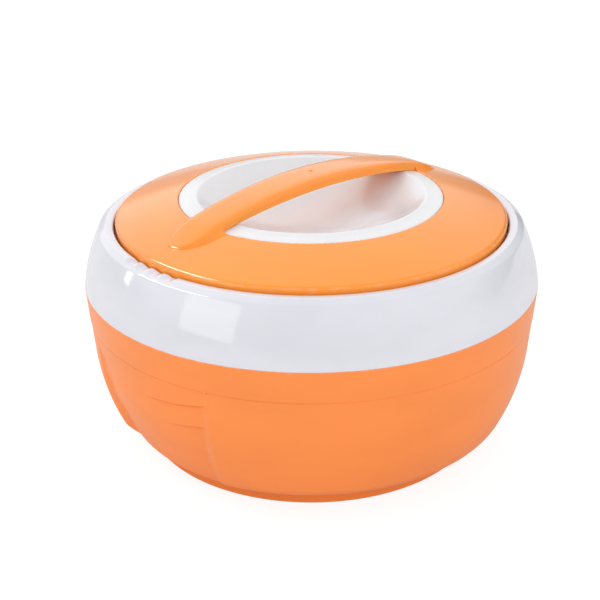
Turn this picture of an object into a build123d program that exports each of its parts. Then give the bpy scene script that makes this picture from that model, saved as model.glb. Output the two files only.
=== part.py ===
"""Insulated serving bowl with a lift-off lid, modelled piece by piece in millimetres.

The bowl stands on z = 0 with its axis on Z. The two finger grips lie at the ends of the X axis.
"""
import os
from math import asin, cos, radians, sin, sqrt, tan

from build123d import *

# Gaps between neighbouring pieces
fit_gap = 0.3
seal_gap = 0.4

# Outer shell and its standing ring
seam_radius = 137.0
seam_height = 101.2
shell_wall = 2.4
wall_lean = 4.7
hip_height = 42.0
hip_lean = 24.0
hip_radius = 120.0
knuckle_radius = 16.0
fillet_share = 0.95
underside_angle = 28.0
foot_inset = 33.4
foot_height = 7.2
foot_wall = 3.0
foot_ledge = 0.8
band_height = 18.6
band_step = 0.3

# Finger grips in the shell: stepped recesses whose steps curve like a smile
grip_half_angle = 20.0
grip_panel_drop = 2.0
grip_panel_depth = 0.4
grip_step_count = 3
grip_first_step = 34.5
grip_step_pitch = 14.5
grip_step_depth = 1.25
grip_arc_radius = 200.0
grip_ramp_angle = 3.5
grip_overrun = 1.0

# Filling hole in the shell's floor and its plug
fill_hole_radius = 9.0
plug_head_radius = 13.0
plug_head_height = 1.6
plug_stem_wall = 1.8
plug_bead = 0.5
plug_stem_rise = 3.0

# Collar between the shell and the lid
collar_height = 35.8
collar_wall = 2.4
collar_bulge = 1.5
lip_inset = 10.5
lip_width = 8.0
lip_outer_drop = 2.5
lip_inner_drop = 0.4
lip_round = 1.0
ledge_depth = 12.0
ledge_width = 7.0
ledge_thickness = 2.6
spigot_depth = 8.0
spigot_wall = 2.0

# Scallops in the collar's lip, over each finger grip
scallop_count = 4
scallop_pitch = 5.13
scallop_radius = 6.4
scallop_depth = 1.4

# Steel inner bowl
bowl_wall = 0.8
bowl_lean = 4.0
bowl_corner_radius = 40.0
bowl_floor_height = 20.0
bowl_flange_width = 6.2
bowl_neck_gap = 0.8

# Insulation in the body
insulation_neck = 19.0

# Lid: where it sits and the dome it shares with its dish
lid_turn = -0.4
lid_gap = 1.8
lid_edge_rise = 2.7
lid_edge_round = 1.5
dome_radius = 384.0
cover_wall = 2.2
ring_width = 37.8
window_round = 0.5

# Handle moulded in one piece with the cover
handle_rise = 26.0
handle_end_inset = 14.2
handle_width = 27.0
handle_nose_width = 23.0
handle_nose_height = 4.0
handle_thickness = 6.5
handle_edge_round = 4.4
handle_wall = 2.5

# White dish in the middle of the lid
dish_wall = 2.0
dish_band_width = 10.6
dish_band_drop = 0.7
dish_depth = 18.0
dish_crease_round = 3.0
dish_flange_width = 6.5

# Inner lid, its plug and its seal
liner_wall = 2.0
plug_wall_thickness = 3.0
plug_depth = 14.0
plug_gap = 3.4
liner_rim_height = 5.0
groove_height = 3.0
groove_depth = 1.3
groove_rise = 5.0
seal_lip_thickness = 0.9

# Heights and radii that follow from the sizes above
shell_radius = seam_radius - band_step
foot_radius = seam_radius - foot_inset
lip_outer_radius = seam_radius - lip_inset
lip_crest_radius = lip_outer_radius - lip_width / 2
lip_height = seam_height + collar_height
ledge_height = lip_height - ledge_depth
collar_mouth_radius = lip_outer_radius - lip_width
lid_radius = collar_mouth_radius - lid_gap
window_radius = lid_radius - ring_width
handle_half_length = lid_radius - handle_end_inset
bowl_rim_height = ledge_height + bowl_wall
lid_base = bowl_rim_height + fit_gap
dome_edge_height = lip_height + lid_edge_rise
dome_centre = dome_edge_height - sqrt(dome_radius**2 - lid_radius**2)
bowl_outer_radius = collar_mouth_radius - ledge_width - bowl_neck_gap
grip_depth = grip_panel_depth + grip_step_count * grip_step_depth


def dome_height(radius, drop=0.0):
    """Height of the lid's dome at a radius, or of a surface parallel to it and lower by a drop."""
    return dome_centre + sqrt((dome_radius - drop) ** 2 - radius**2)


def wall_radius(height, inset):
    """Radius of the shell's leaning wall at a height, or of a wall parallel to it inside."""
    lean = radians(wall_lean)
    return shell_radius - (seam_height - height) * tan(lean) - inset / cos(lean)


def body_points(wall_inset, floor_inset):
    """Half outline of the body, from its floor's edge over the knuckle and the hip to the seam."""
    rise = tan(radians(underside_angle))
    lift = floor_inset / cos(radians(underside_angle))
    floor = foot_height + floor_inset
    edge = foot_radius + foot_ledge + (floor_inset - lift) / rise
    wall_slope = tan(radians(wall_lean))
    hip_slope = tan(radians(hip_lean))
    hip_lift = wall_inset * (1 / cos(radians(hip_lean)) - 1 / cos(radians(wall_lean)))
    hip_top = hip_height + hip_lift / (hip_slope - wall_slope)
    hip = (wall_radius(hip_top, wall_inset), hip_top)
    knuckle_rise = (hip[0] - hip_top * hip_slope - edge) * rise
    knuckle_height = (floor + knuckle_rise) / (1 - rise * hip_slope)
    knuckle = (hip[0] - (hip_top - knuckle_height) * hip_slope, knuckle_height)
    return (edge, floor), knuckle, hip, (wall_radius(seam_height, wall_inset), seam_height)


def body_fillets(points, wall_inset):
    """Radii of the roundings at the knuckle and the hip, kept within the walls that they join."""
    edge, knuckle, hip, top = (Vector(*point) for point in points)
    knuckle_bend = tan(radians((90 - hip_lean - underside_angle) / 2))
    hip_bend = tan(radians((hip_lean - wall_lean) / 2))
    lower_wall = (hip - knuckle).length * fillet_share
    knuckle_room = min((knuckle - edge).length * fillet_share, lower_wall / 2)
    knuckle_reach = min((knuckle_radius - wall_inset) * knuckle_bend, knuckle_room)
    hip_room = min((top - hip).length * fillet_share, lower_wall - knuckle_reach)
    hip_reach = min((hip_radius - wall_inset) * hip_bend, hip_room)
    return knuckle_reach / knuckle_bend, hip_reach / hip_bend


def body_outline(inner_radius, wall_inset, floor_inset):
    """Face of the body's half section, from an inner radius to the given insets of its walls."""
    points = body_points(wall_inset, floor_inset)
    floor = points[0][1]
    with BuildSketch() as outline:
        with BuildLine():
            Polyline((inner_radius, floor), *points, (inner_radius, seam_height), close=True)
        make_face()
        for point, radius in zip(points[1:3], body_fillets(points, wall_inset)):
            fillet(outline.vertices().sort_by_distance((*point, 0))[0], radius)
    return outline.sketch


def turned_body(wall_inset, floor_inset):
    """Solid of revolution inside the shell's walls at the given insets."""
    outline = body_outline(0, wall_inset, floor_inset)
    with BuildPart() as body:
        with BuildSketch(Plane.XZ):
            add(outline)
        revolve(axis=Axis.Z)
    return body.part


def sector(half_angle, low, high):
    """Wedge of a thick ring about the +X direction, between two heights."""
    with BuildPart() as wedge:
        with BuildSketch(Plane.XZ.rotated((0, 0, -half_angle))):
            with Locations((foot_radius / 2, low)):
                Rectangle(seam_radius, high - low, align=Align.MIN)
        revolve(axis=Axis.Z, revolution_arc=2 * half_angle)
    return wedge.part


def grip_step_height(step):
    """Height of a grip step at the middle of its arc; step 0 is the shallow panel's top edge."""
    if step == 0:
        return seam_height - band_height - grip_panel_drop
    return seam_height - grip_first_step - (step - 1) * grip_step_pitch


def below_arc(height):
    """Block under an arc that is lowest at the middle of the grip, for cutting one step."""
    reach = seam_radius * sin(radians(grip_half_angle + grip_ramp_angle))
    sag = grip_arc_radius - sqrt(grip_arc_radius**2 - reach**2)
    with BuildPart() as block:
        with BuildSketch(Plane.YZ):
            with BuildLine():
                ThreePointArc((-reach, height + sag), (0, height), (reach, height + sag))
                Polyline((reach, height + sag), (reach, 0), (-reach, 0), (-reach, height + sag))
            make_face()
        extrude(amount=2 * seam_radius)
    return block.part


def grip_ramp():
    """Side of the grip that stays: it rises from the recess's floor to the shell's surface."""
    depth_per_degree = grip_depth / grip_ramp_angle
    with BuildPart() as ramp:
        for turn, inset in (
            (grip_half_angle + grip_overrun, -grip_overrun * depth_per_degree),
            (grip_half_angle - grip_ramp_angle, grip_depth),
        ):
            outline = body_outline(foot_radius / 2, inset, 0)
            with BuildSketch(Plane.XZ.rotated((0, 0, turn))):
                add(outline)
        loft(ruled=True)
    return ramp.part


# Outer shell: lower body, proud band under the seam, standing ring and finger grips
shell_solid = turned_body(0, 0)
shell_cavity = turned_body(shell_wall, shell_wall)
grip_side = grip_ramp()
grip_cuts = []
for step in range(grip_step_count + 1):
    depth = grip_panel_depth + step * grip_step_depth
    floor_solid = turned_body(depth, 0)
    step_block = below_arc(grip_step_height(step))
    step_sector = sector(grip_half_angle + grip_overrun, foot_height, seam_height)
    with BuildPart() as grip_cut:
        add(step_sector)
        add(step_block, mode=Mode.INTERSECT)
        add(floor_solid, mode=Mode.SUBTRACT)
        add(grip_side, mode=Mode.SUBTRACT)
        add(grip_side.mirror(Plane.XZ), mode=Mode.SUBTRACT)
    grip_cuts.append(grip_cut.part)

grip_backing_angle = grip_half_angle + grip_overrun
grip_backing_top = seam_height - grip_first_step + grip_step_pitch
backing_sector = sector(grip_backing_angle, foot_height, grip_backing_top)
backing_core = turned_body(shell_wall + grip_depth, shell_wall)
with BuildPart() as grip_backing:
    add(backing_sector)
    add(shell_cavity, mode=Mode.INTERSECT)
    add(backing_core, mode=Mode.SUBTRACT)

with BuildPart() as outer_shell:
    add(shell_solid)
    with BuildSketch(Plane.XZ):
        with BuildLine():
            Polyline(
                (wall_radius(seam_height, shell_wall / 2), seam_height),
                (seam_radius, seam_height),
                (wall_radius(seam_height - band_height, 0) + band_step, seam_height - band_height),
                (wall_radius(seam_height - band_height, shell_wall / 2), seam_height - band_height),
                close=True,
            )
        make_face()
    revolve(axis=Axis.Z)
    with BuildSketch(Plane.XY):
        Circle(foot_radius)
        Circle(foot_radius - foot_wall, mode=Mode.SUBTRACT)
    extrude(amount=foot_height)
    add(shell_cavity, mode=Mode.SUBTRACT)
    add(grip_backing.part)
    add(grip_backing.part.mirror(Plane.YZ))
    for grip_cut in grip_cuts:
        add(grip_cut, mode=Mode.SUBTRACT)
        add(grip_cut.mirror(Plane.YZ), mode=Mode.SUBTRACT)
    with Locations((0, 0, foot_height)):
        Cylinder(
            fill_hole_radius,
            2 * shell_wall,
            align=(Align.CENTER, Align.CENTER, Align.MIN),
            mode=Mode.SUBTRACT,
        )
outer_shell.part.label = "outer_shell"

# Base plug: closes the hole that the insulation is poured through
plug_stem_radius = fill_hole_radius - fit_gap
plug_stem_top = foot_height + shell_wall + plug_stem_rise
with BuildPart() as base_plug:
    with BuildSketch(Plane.XZ):
        with BuildLine():
            Polyline(
                (0, foot_height - plug_head_height),
                (plug_head_radius, foot_height - plug_head_height),
                (plug_head_radius, foot_height),
                (plug_stem_radius, foot_height),
                (plug_stem_radius, foot_height + shell_wall + fit_gap),
                (plug_stem_radius + plug_bead + fit_gap, foot_height + shell_wall + fit_gap + plug_bead),
                (plug_stem_radius, plug_stem_top),
                (plug_stem_radius - plug_stem_wall, plug_stem_top),
                (plug_stem_radius - plug_stem_wall, foot_height),
                (0, foot_height),
                close=True,
            )
        make_face()
    revolve(axis=Axis.Z)
    head_rim = base_plug.edges().filter_by(GeomType.CIRCLE).group_by(Axis.Z)[0]
    fillet(head_rim, plug_head_height / 3)
base_plug.part.label = "base_plug"

# Inner bowl: steel, with a flat flange that lies on the collar's ledge
bowl_slope = tan(radians(bowl_lean))
bowl_floor_radius = bowl_outer_radius - (ledge_height - bowl_floor_height) * bowl_slope


def turned_bowl(growth, top):
    """Solid of revolution of the bowl's outside, grown or shrunk evenly, up to a height."""
    floor = bowl_floor_height - growth
    shift = growth / cos(radians(bowl_lean))
    floor_radius = bowl_floor_radius + shift - growth * bowl_slope
    top_radius = floor_radius + (top - floor) * bowl_slope
    with BuildPart() as solid:
        with BuildSketch(Plane.XZ) as half:
            with BuildLine():
                Polyline((0, floor), (floor_radius, floor), (top_radius, top), (0, top), close=True)
            make_face()
            corner = half.vertices().sort_by_distance((floor_radius, floor, 0))[0]
            fillet(corner, bowl_corner_radius + growth)
        revolve(axis=Axis.Z)
    return solid.part


bowl_outside = turned_bowl(0, bowl_rim_height)
bowl_inside = turned_bowl(-bowl_wall, bowl_rim_height + bowl_wall)
with BuildPart() as inner_bowl:
    add(bowl_outside)
    with BuildSketch(Plane.XY.offset(ledge_height)):
        Circle(bowl_outer_radius + bowl_flange_width)
    extrude(amount=bowl_wall)
    add(bowl_inside, mode=Mode.SUBTRACT)
inner_bowl.part.label = "inner_bowl"

# Collar: convex wall, lip, ledge for the bowl and spigot into the shell
collar_outer_foot = (seam_radius, seam_height)
collar_outer_top = (lip_outer_radius, lip_height - lip_outer_drop)
collar_chord = Vector(*collar_outer_top) - Vector(*collar_outer_foot)
collar_normal = Vector(collar_chord.Y, -collar_chord.X).normalized()


def collar_arc_point(share, inset):
    """Point on the collar's convex wall, at a share of its height, moved inwards."""
    bulge = collar_bulge * 4 * share * (1 - share) - inset
    point = Vector(*collar_outer_foot) + collar_chord * share + collar_normal * bulge
    return (point.X, point.Y)


spigot_radius = wall_radius(seam_height, shell_wall) - fit_gap
spigot_foot_radius = wall_radius(seam_height - spigot_depth, shell_wall) - fit_gap
ledge_back_radius = collar_mouth_radius + collar_wall
ledge_under = ledge_height - ledge_thickness
lip_under = lip_height - lip_outer_drop - collar_wall
collar_inner_top = collar_arc_point(0.9, collar_wall)
collar_inner_middle = collar_arc_point(0.5, collar_wall)
collar_inner_foot = collar_arc_point(0.1, collar_wall)
with BuildPart() as collar:
    with BuildSketch(Plane.XZ) as collar_half:
        with BuildLine():
            ThreePointArc(collar_outer_foot, collar_arc_point(0.5, 0), collar_outer_top)
            Polyline(
                collar_outer_top,
                (lip_crest_radius, lip_height),
                (collar_mouth_radius, lip_height - lip_inner_drop),
                (collar_mouth_radius, ledge_height),
                (collar_mouth_radius - ledge_width, ledge_height),
                (collar_mouth_radius - ledge_width, ledge_under),
                (ledge_back_radius, ledge_under),
                (ledge_back_radius, lip_under),
                collar_inner_top,
            )
            ThreePointArc(collar_inner_top, collar_inner_middle, collar_inner_foot)
            Polyline(
                collar_inner_foot,
                (spigot_radius - spigot_wall, seam_height),
                (spigot_foot_radius - spigot_wall, seam_height - spigot_depth),
                (spigot_foot_radius, seam_height - spigot_depth),
                (spigot_radius, seam_height),
                collar_outer_foot,
            )
        make_face()
        lip_corners = collar_half.vertices().sort_by_distance((lip_crest_radius, lip_height, 0))[0:3]
        fillet(lip_corners, lip_round)
    revolve(axis=Axis.Z)
    scallop_middle = lip_height - lip_inner_drop - scallop_depth + scallop_radius
    scallop_length = 2 * (seam_radius - collar_mouth_radius)
    for end in (0, 180):
        for scallop in range(scallop_count):
            turn = radians(end + (scallop - (scallop_count - 1) / 2) * scallop_pitch)
            outward = Vector(cos(turn), sin(turn), 0)
            centre = outward * collar_mouth_radius + Vector(0, 0, scallop_middle)
            with Locations(Plane(centre, z_dir=outward)):
                Cylinder(scallop_radius, scallop_length, mode=Mode.SUBTRACT)
collar.part.label = "collar"

# Body insulation: fills the space between the shell and the inner bowl
insulation_outside = turned_body(shell_wall + fit_gap, shell_wall + fit_gap)
insulation_inside = turned_bowl(fit_gap, lip_height)
insulation_top = seam_height + insulation_neck
insulation_shoulder = seam_height - spigot_depth - fit_gap
insulation_neck_share = insulation_neck / collar_chord.Y
insulation_neck_radius = collar_arc_point(insulation_neck_share, collar_wall)[0] - 2 * fit_gap
grip_clear_core = turned_body(shell_wall + grip_depth + fit_gap, shell_wall + fit_gap)
with BuildPart() as grip_clearance:
    add(sector(grip_backing_angle + grip_overrun, foot_height, grip_backing_top + fit_gap))
    add(grip_clear_core, mode=Mode.SUBTRACT)
with BuildPart() as body_insulation:
    add(insulation_outside)
    with BuildSketch(Plane.XY.offset(insulation_shoulder)):
        Circle(2 * seam_radius)
    extrude(amount=seam_height, mode=Mode.SUBTRACT)
    neck_radius = min(insulation_neck_radius, spigot_foot_radius - spigot_wall - fit_gap)
    with BuildSketch(Plane.XY.offset(insulation_shoulder - shell_wall)):
        Circle(neck_radius)
    extrude(amount=insulation_top - insulation_shoulder + shell_wall)
    add(insulation_inside, mode=Mode.SUBTRACT)
    add(grip_clearance.part, mode=Mode.SUBTRACT)
    add(grip_clearance.part.mirror(Plane.YZ), mode=Mode.SUBTRACT)
    with BuildSketch(Plane.XY.offset(foot_height)):
        Circle(plug_stem_radius + plug_bead + 2 * fit_gap)
    extrude(amount=shell_wall + plug_stem_rise + fit_gap, mode=Mode.SUBTRACT)
body_insulation.part.label = "body_insulation"

# Lid cover: skirt, domed ring and the handle, one moulding
handle_top = dome_edge_height + handle_rise
handle_side = Plane.XZ.rotated((0, 0, lid_turn))
handle_plan = Plane.XY.rotated((0, 0, lid_turn))
handle_tip_drop = handle_top - dome_height(handle_half_length) - handle_nose_height
handle_nose_radius = handle_nose_width / 2
handle_shoulder = handle_half_length - handle_nose_radius


def handle_blank(shrink, underside):
    """Handle's body inside its plan and under its arch; shrinking makes the core that hollows it."""
    half_width = handle_width / 2 - shrink
    nose = handle_nose_radius - shrink
    top = handle_top - shrink
    with BuildPart() as blank:
        with BuildSketch(handle_plan):
            with BuildLine():
                side = ThreePointArc((-handle_shoulder, nose), (0, half_width), (handle_shoulder, nose))
                TangentArc((handle_shoulder, nose), (handle_shoulder, -nose), tangent=side % 1)
                side = ThreePointArc((handle_shoulder, -nose), (0, -half_width), (-handle_shoulder, -nose))
                TangentArc((-handle_shoulder, -nose), (-handle_shoulder, nose), tangent=side % 1)
            make_face()
        extrude(amount=2 * handle_top)
        with BuildSketch(handle_side):
            with BuildLine():
                ThreePointArc(
                    (-handle_half_length, top - handle_tip_drop),
                    (0, top),
                    (handle_half_length, top - handle_tip_drop),
                )
                Polyline(
                    (handle_half_length, top - handle_tip_drop),
                    (handle_half_length, underside),
                    (-handle_half_length, underside),
                    (-handle_half_length, top - handle_tip_drop),
                )
            make_face()
        extrude(amount=handle_width, both=True, mode=Mode.INTERSECT)
    return blank.part


def under_handle():
    """Space below the handle's own arch, which springs from the ring at the window's edge."""
    crown = handle_top - handle_thickness
    spring = dome_height(window_radius)
    with BuildPart() as space:
        with BuildSketch(handle_side):
            with BuildLine():
                ThreePointArc((-window_radius, spring), (0, crown), (window_radius, spring))
                Polyline(
                    (window_radius, spring),
                    (window_radius, lid_base),
                    (-window_radius, lid_base),
                    (-window_radius, spring),
                )
            make_face()
        extrude(amount=handle_width, both=True)
    return space.part


cover_inner_radius = lid_radius - cover_wall
handle_outside = handle_blank(0, dome_height(handle_half_length, cover_wall))
handle_core = handle_blank(handle_wall, lid_base)
handle_space = under_handle()
with BuildPart() as under_dome:
    with BuildSketch(Plane.XZ):
        with BuildLine():
            dome_middle = cover_inner_radius / 2
            ThreePointArc(
                (0, dome_height(0, cover_wall)),
                (dome_middle, dome_height(dome_middle, cover_wall)),
                (cover_inner_radius, dome_height(cover_inner_radius, cover_wall)),
            )
            Polyline(
                (cover_inner_radius, dome_height(cover_inner_radius, cover_wall)),
                (cover_inner_radius, lid_base),
                (0, lid_base),
                (0, dome_height(0, cover_wall)),
            )
        make_face()
    revolve(axis=Axis.Z)
with BuildPart() as handle:
    add(handle_outside)
    crown_edges = handle.faces().sort_by(Axis.Z)[-1].edges()
    fillet(crown_edges, handle_edge_round)
    add(handle_space, mode=Mode.SUBTRACT)
    add(under_dome.part, mode=Mode.SUBTRACT)

with BuildPart() as lid_cover:
    with BuildSketch(Plane.XZ) as cover_half:
        with BuildLine():
            dome_middle = (lid_radius + window_radius) / 2
            Polyline(
                (window_radius, dome_height(window_radius)),
                (window_radius, dome_height(window_radius, cover_wall)),
            )
            ThreePointArc(
                (window_radius, dome_height(window_radius, cover_wall)),
                (dome_middle, dome_height(dome_middle, cover_wall)),
                (cover_inner_radius, dome_height(cover_inner_radius, cover_wall)),
            )
            Polyline(
                (cover_inner_radius, dome_height(cover_inner_radius, cover_wall)),
                (cover_inner_radius, lid_base),
                (lid_radius, lid_base),
                (lid_radius, dome_height(lid_radius)),
            )
            ThreePointArc(
                (lid_radius, dome_height(lid_radius)),
                (dome_middle, dome_height(dome_middle)),
                (window_radius, dome_height(window_radius)),
            )
        make_face()
        lid_corner = cover_half.vertices().sort_by_distance((lid_radius, dome_edge_height, 0))[0]
        fillet(lid_corner, lid_edge_round)
        window_corner = (window_radius, dome_height(window_radius), 0)
        fillet(cover_half.vertices().sort_by_distance(window_corner)[0], window_round)
    revolve(axis=Axis.Z)
    add(handle.part)
    add(handle_core, mode=Mode.SUBTRACT)
lid_cover.part.label = "lid_cover"

# Lid dish: band that carries on the dome, then the hollow under the handle
dish_edge_radius = window_radius - fit_gap
crease_radius = window_radius - dish_band_width
crease_height = dome_height(crease_radius, dish_band_drop)
dish_floor = crease_height - dish_depth
dish_curve = (crease_radius**2 + dish_depth**2) / (2 * dish_depth)
dish_turn = asin(crease_radius / dish_curve)
dish_flange_radius = window_radius + dish_flange_width
dish_step_radius = dish_edge_radius - dish_wall


def dish_arc_point(share, outward):
    """Point on the dish's hollow, from its middle to its crease, moved out of the hollow."""
    turn = dish_turn * share
    radius = dish_curve + outward
    return (radius * sin(turn), dish_floor + dish_curve - radius * cos(turn))


flange_drop = cover_wall + fit_gap
flange_under_drop = flange_drop + dish_wall
with BuildPart() as lid_dish:
    with BuildSketch(Plane.XZ) as dish_half:
        with BuildLine():
            ThreePointArc(dish_arc_point(0, 0), dish_arc_point(0.5, 0), dish_arc_point(1, 0))
            Polyline(
                dish_arc_point(1, 0),
                (dish_edge_radius, dome_height(dish_edge_radius, dish_band_drop)),
                (dish_edge_radius, dome_height(dish_edge_radius, flange_drop)),
                (dish_flange_radius, dome_height(dish_flange_radius, flange_drop)),
                (dish_flange_radius, dome_height(dish_flange_radius, flange_under_drop)),
                (dish_step_radius, dome_height(dish_step_radius, flange_under_drop)),
                dish_arc_point(1, dish_wall),
            )
            ThreePointArc(
                dish_arc_point(1, dish_wall),
                dish_arc_point(0.5, dish_wall),
                dish_arc_point(0, dish_wall),
            )
            Line(dish_arc_point(0, dish_wall), dish_arc_point(0, 0))
        make_face()
        crease = dish_half.vertices().sort_by_distance((*dish_arc_point(1, 0), 0))[0]
        fillet(crease, dish_crease_round)
    revolve(axis=Axis.Z)
lid_dish.part.label = "lid_dish"

# Lid liner: inner lid with the plug that reaches into the bowl and a groove for the seal
plug_radius = bowl_outer_radius - bowl_wall - plug_gap
plug_bottom = lid_base - plug_depth
liner_rim_radius = cover_inner_radius - fit_gap
plug_inner_radius = plug_radius - plug_wall_thickness
groove_low = plug_bottom + groove_rise
groove_high = groove_low + groove_height
liner_flange_top = lid_base + liner_wall
with BuildPart() as lid_liner:
    with BuildSketch(Plane.XZ):
        with BuildLine():
            Polyline(
                (0, plug_bottom),
                (plug_radius, plug_bottom),
                (plug_radius, groove_low),
                (plug_radius - groove_depth, groove_low),
                (plug_radius - groove_depth, groove_high),
                (plug_radius, groove_high),
                (plug_radius, lid_base),
                (liner_rim_radius, lid_base),
                (liner_rim_radius, lid_base + liner_rim_height),
                (liner_rim_radius - liner_wall, lid_base + liner_rim_height),
                (liner_rim_radius - liner_wall, liner_flange_top),
                (plug_inner_radius, liner_flange_top),
                (plug_inner_radius, plug_bottom + liner_wall),
                (0, plug_bottom + liner_wall),
                close=True,
            )
        make_face()
    revolve(axis=Axis.Z)
    plug_foot = lid_liner.edges().filter_by(GeomType.CIRCLE).group_by(Axis.Z)[0]
    fillet(plug_foot, liner_wall)
lid_liner.part.label = "lid_liner"

# Lid seal: soft ring in the plug's groove with a lip towards the bowl's wall
seal_height = (groove_low + groove_high) / 2
seal_reach = bowl_outer_radius - bowl_wall - (ledge_height - groove_low) * bowl_slope - seal_gap
seal_back = plug_radius - groove_depth + fit_gap
with BuildPart() as lid_seal:
    with BuildSketch(Plane.XZ):
        with BuildLine():
            Polyline(
                (seal_back, groove_low + fit_gap),
                (plug_radius, groove_low + fit_gap),
                (seal_reach, seal_height - seal_lip_thickness / 2),
                (seal_reach, seal_height + seal_lip_thickness / 2),
                (plug_radius, groove_high - fit_gap),
                (seal_back, groove_high - fit_gap),
                close=True,
            )
        make_face()
    revolve(axis=Axis.Z)
lid_seal.part.label = "lid_seal"

# Lid insulation: fills the space between the inner lid and the dish
lid_insulation_radius = plug_inner_radius - fit_gap
lid_insulation_foot = plug_bottom + liner_wall + fit_gap
with BuildPart() as lid_insulation:
    with BuildSketch(Plane.XZ):
        with BuildLine():
            under = dish_wall + fit_gap
            foam_drop = flange_under_drop + fit_gap
            foam_edge = dish_edge_radius - under
            ThreePointArc(dish_arc_point(0, under), dish_arc_point(0.5, under), dish_arc_point(1, under))
            Polyline(
                dish_arc_point(1, under),
                (foam_edge, dome_height(foam_edge, foam_drop)),
                (dish_flange_radius, dome_height(dish_flange_radius, foam_drop)),
                (lid_insulation_radius, dome_height(lid_insulation_radius, foam_drop)),
                (lid_insulation_radius, lid_insulation_foot),
                (0, lid_insulation_foot),
                dish_arc_point(0, under),
            )
        make_face()
    revolve(axis=Axis.Z)
lid_insulation.part.label = "lid_insulation"

os.makedirs("parts", exist_ok=True)
for piece in (
    outer_shell,
    base_plug,
    inner_bowl,
    collar,
    body_insulation,
    lid_cover,
    lid_dish,
    lid_liner,
    lid_seal,
    lid_insulation,
):
    export_step(piece.part, f"parts/{piece.part.label}.step")
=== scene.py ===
"""Looks of the insulated serving bowl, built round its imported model.

The file is laid out as an add-on. Property groups hold the sizes and colours, one operator makes each piece
or group of like pieces, and main() runs them in order. Lengths are in metres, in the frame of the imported
model.
"""
from math import asin, atan2, ceil, cos, hypot, pi, radians, sin, sqrt, tan

import bmesh
import bpy
import numpy as np
from mathutils import Matrix, Quaternion, Vector
from mathutils.geometry import delaunay_2d_cdt


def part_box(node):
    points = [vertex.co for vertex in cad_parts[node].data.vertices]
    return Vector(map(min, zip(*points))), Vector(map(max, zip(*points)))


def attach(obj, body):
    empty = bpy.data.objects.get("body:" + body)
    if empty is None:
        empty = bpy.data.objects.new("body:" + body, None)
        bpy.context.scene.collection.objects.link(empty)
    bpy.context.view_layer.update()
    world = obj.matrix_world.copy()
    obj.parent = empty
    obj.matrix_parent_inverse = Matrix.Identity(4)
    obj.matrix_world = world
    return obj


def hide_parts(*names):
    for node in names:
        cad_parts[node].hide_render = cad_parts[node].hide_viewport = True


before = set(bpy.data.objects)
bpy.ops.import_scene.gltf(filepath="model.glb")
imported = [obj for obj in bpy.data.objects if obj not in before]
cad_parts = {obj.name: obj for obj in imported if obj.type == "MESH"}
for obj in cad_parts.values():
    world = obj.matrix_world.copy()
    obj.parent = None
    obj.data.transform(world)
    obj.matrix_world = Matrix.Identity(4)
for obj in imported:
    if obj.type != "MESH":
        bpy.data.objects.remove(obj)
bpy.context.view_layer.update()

bl_info = {
    "name": "Insulated serving bowl",
    "version": (1, 0, 0),
    "blender": (4, 5, 0),
    "location": "View3D > Sidebar > Serving bowl",
    "description": "Builds the visible pieces of an insulated serving bowl round its packed model",
    "category": "Object",
}

SHELL_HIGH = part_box("outer_shell")[1]
COLLAR_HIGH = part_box("collar")[1]
COVER_LOW, COVER_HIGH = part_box("lid_cover")

MM = 0.001
SKIN_STEPS = 240

# Finger grips: rows of points at each step, the groove's share at each step, and how close the columns crowd.
STEP_ROWS = np.array([-1.3, -1.1, -0.95, -0.8, -0.5, -0.18, -0.09, 0, 0.09, 0.18, 0.4, 0.8]) * MM
GROOVE_SHARES = (0.7, 1.0, 1.5)
GRIP_CROWDING = 0.7
# The steps' smile in grip angles: where it stops bending and where it fades out.
SMILE_END, SMILE_FADE = 1.05, (2.4, 1.1)
RAMP_SOFT, SCALLOP_SOFT = 0.0003, 0.0004
# What the turned tree gets for a piece whose profile asks for no grip.
NO_GRIP = {"Grip angle": 0.3, "Grip ramp": 0.05, "Grip depth": 0.001, "Grip arc": 0.2}

# Lid cover: rows of points inside and outside the handle's outline, round the window, and round the gate in
# radii of the gate.
HANDLE_ROWS = np.array([0.06, 0.18, 0.38, 0.65, 1.0, 1.45, 2.0, 2.7, 3.5, 4.5, 5.7, 7.2, 8.9, 10.8]) * -MM
ROOT_ROWS = np.array([0.1, 0.25, 0.45, 0.7, 1.0, 1.35, 1.75, 2.2, 2.7, 3.3, 4.0, 4.8, 5.7]) * MM
WINDOW_ROWS = np.array([0.12, 0.3, 0.5, 0.9]) * MM
GATE_ROWS = np.array([0, 0.3, 0.45, 0.6, 0.75, 0.88, 1.0, 1.12, 1.25, 1.4, 1.6, 2.0])
ROOT_REACH = 0.0064
HANDLE_SIDE_STEPS, HANDLE_NOSE_STEPS = 170, 56
# How far from its tips the handle's ends start and are complete, how far inside the window it hangs free,
# where its channel starts and is full, and the run of an upright wall in the height fields.
END_STARTS, END_FULL = 0.024, 0.003
FREE_REACH = 0.007
CHANNEL_STARTS, CHANNEL_FULL = 0.004, 0.010
WALL_RUN = 0.0006
DISH_COLUMNS = 288

# Plastic: refraction, roughness of the gloss coat, and how far light travels inside at a reach of 1.
PLASTIC_IOR, COAT_ROUGHNESS, LIGHT_REACH = 1.49, 0.08, 0.006

# Walls of the studio: setting that holds the brightness, 1 where it adds light and -1 where it takes it away,
# turn, climb, and the far and near angles of its soft edge in degrees, and whether it stops at the horizon.
WALLS = (
    ("bright_wall", 1, 70, 32, 60, 15, True),
    ("front_wall", -1, -133, 25, 60, 15, True),
    ("dim_wall", -1, -4, -5, 48, 15, False),
    ("fill_wall", 1, -58, 22, 75, 15, False),
    ("ceiling", -1, 0, 90, 55, 10, False),
)
HORIZON_FADE, DARKEST_SKY = (0.13, 0.19), 0.05
FLOOR_RADIUS = 9.0
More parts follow.
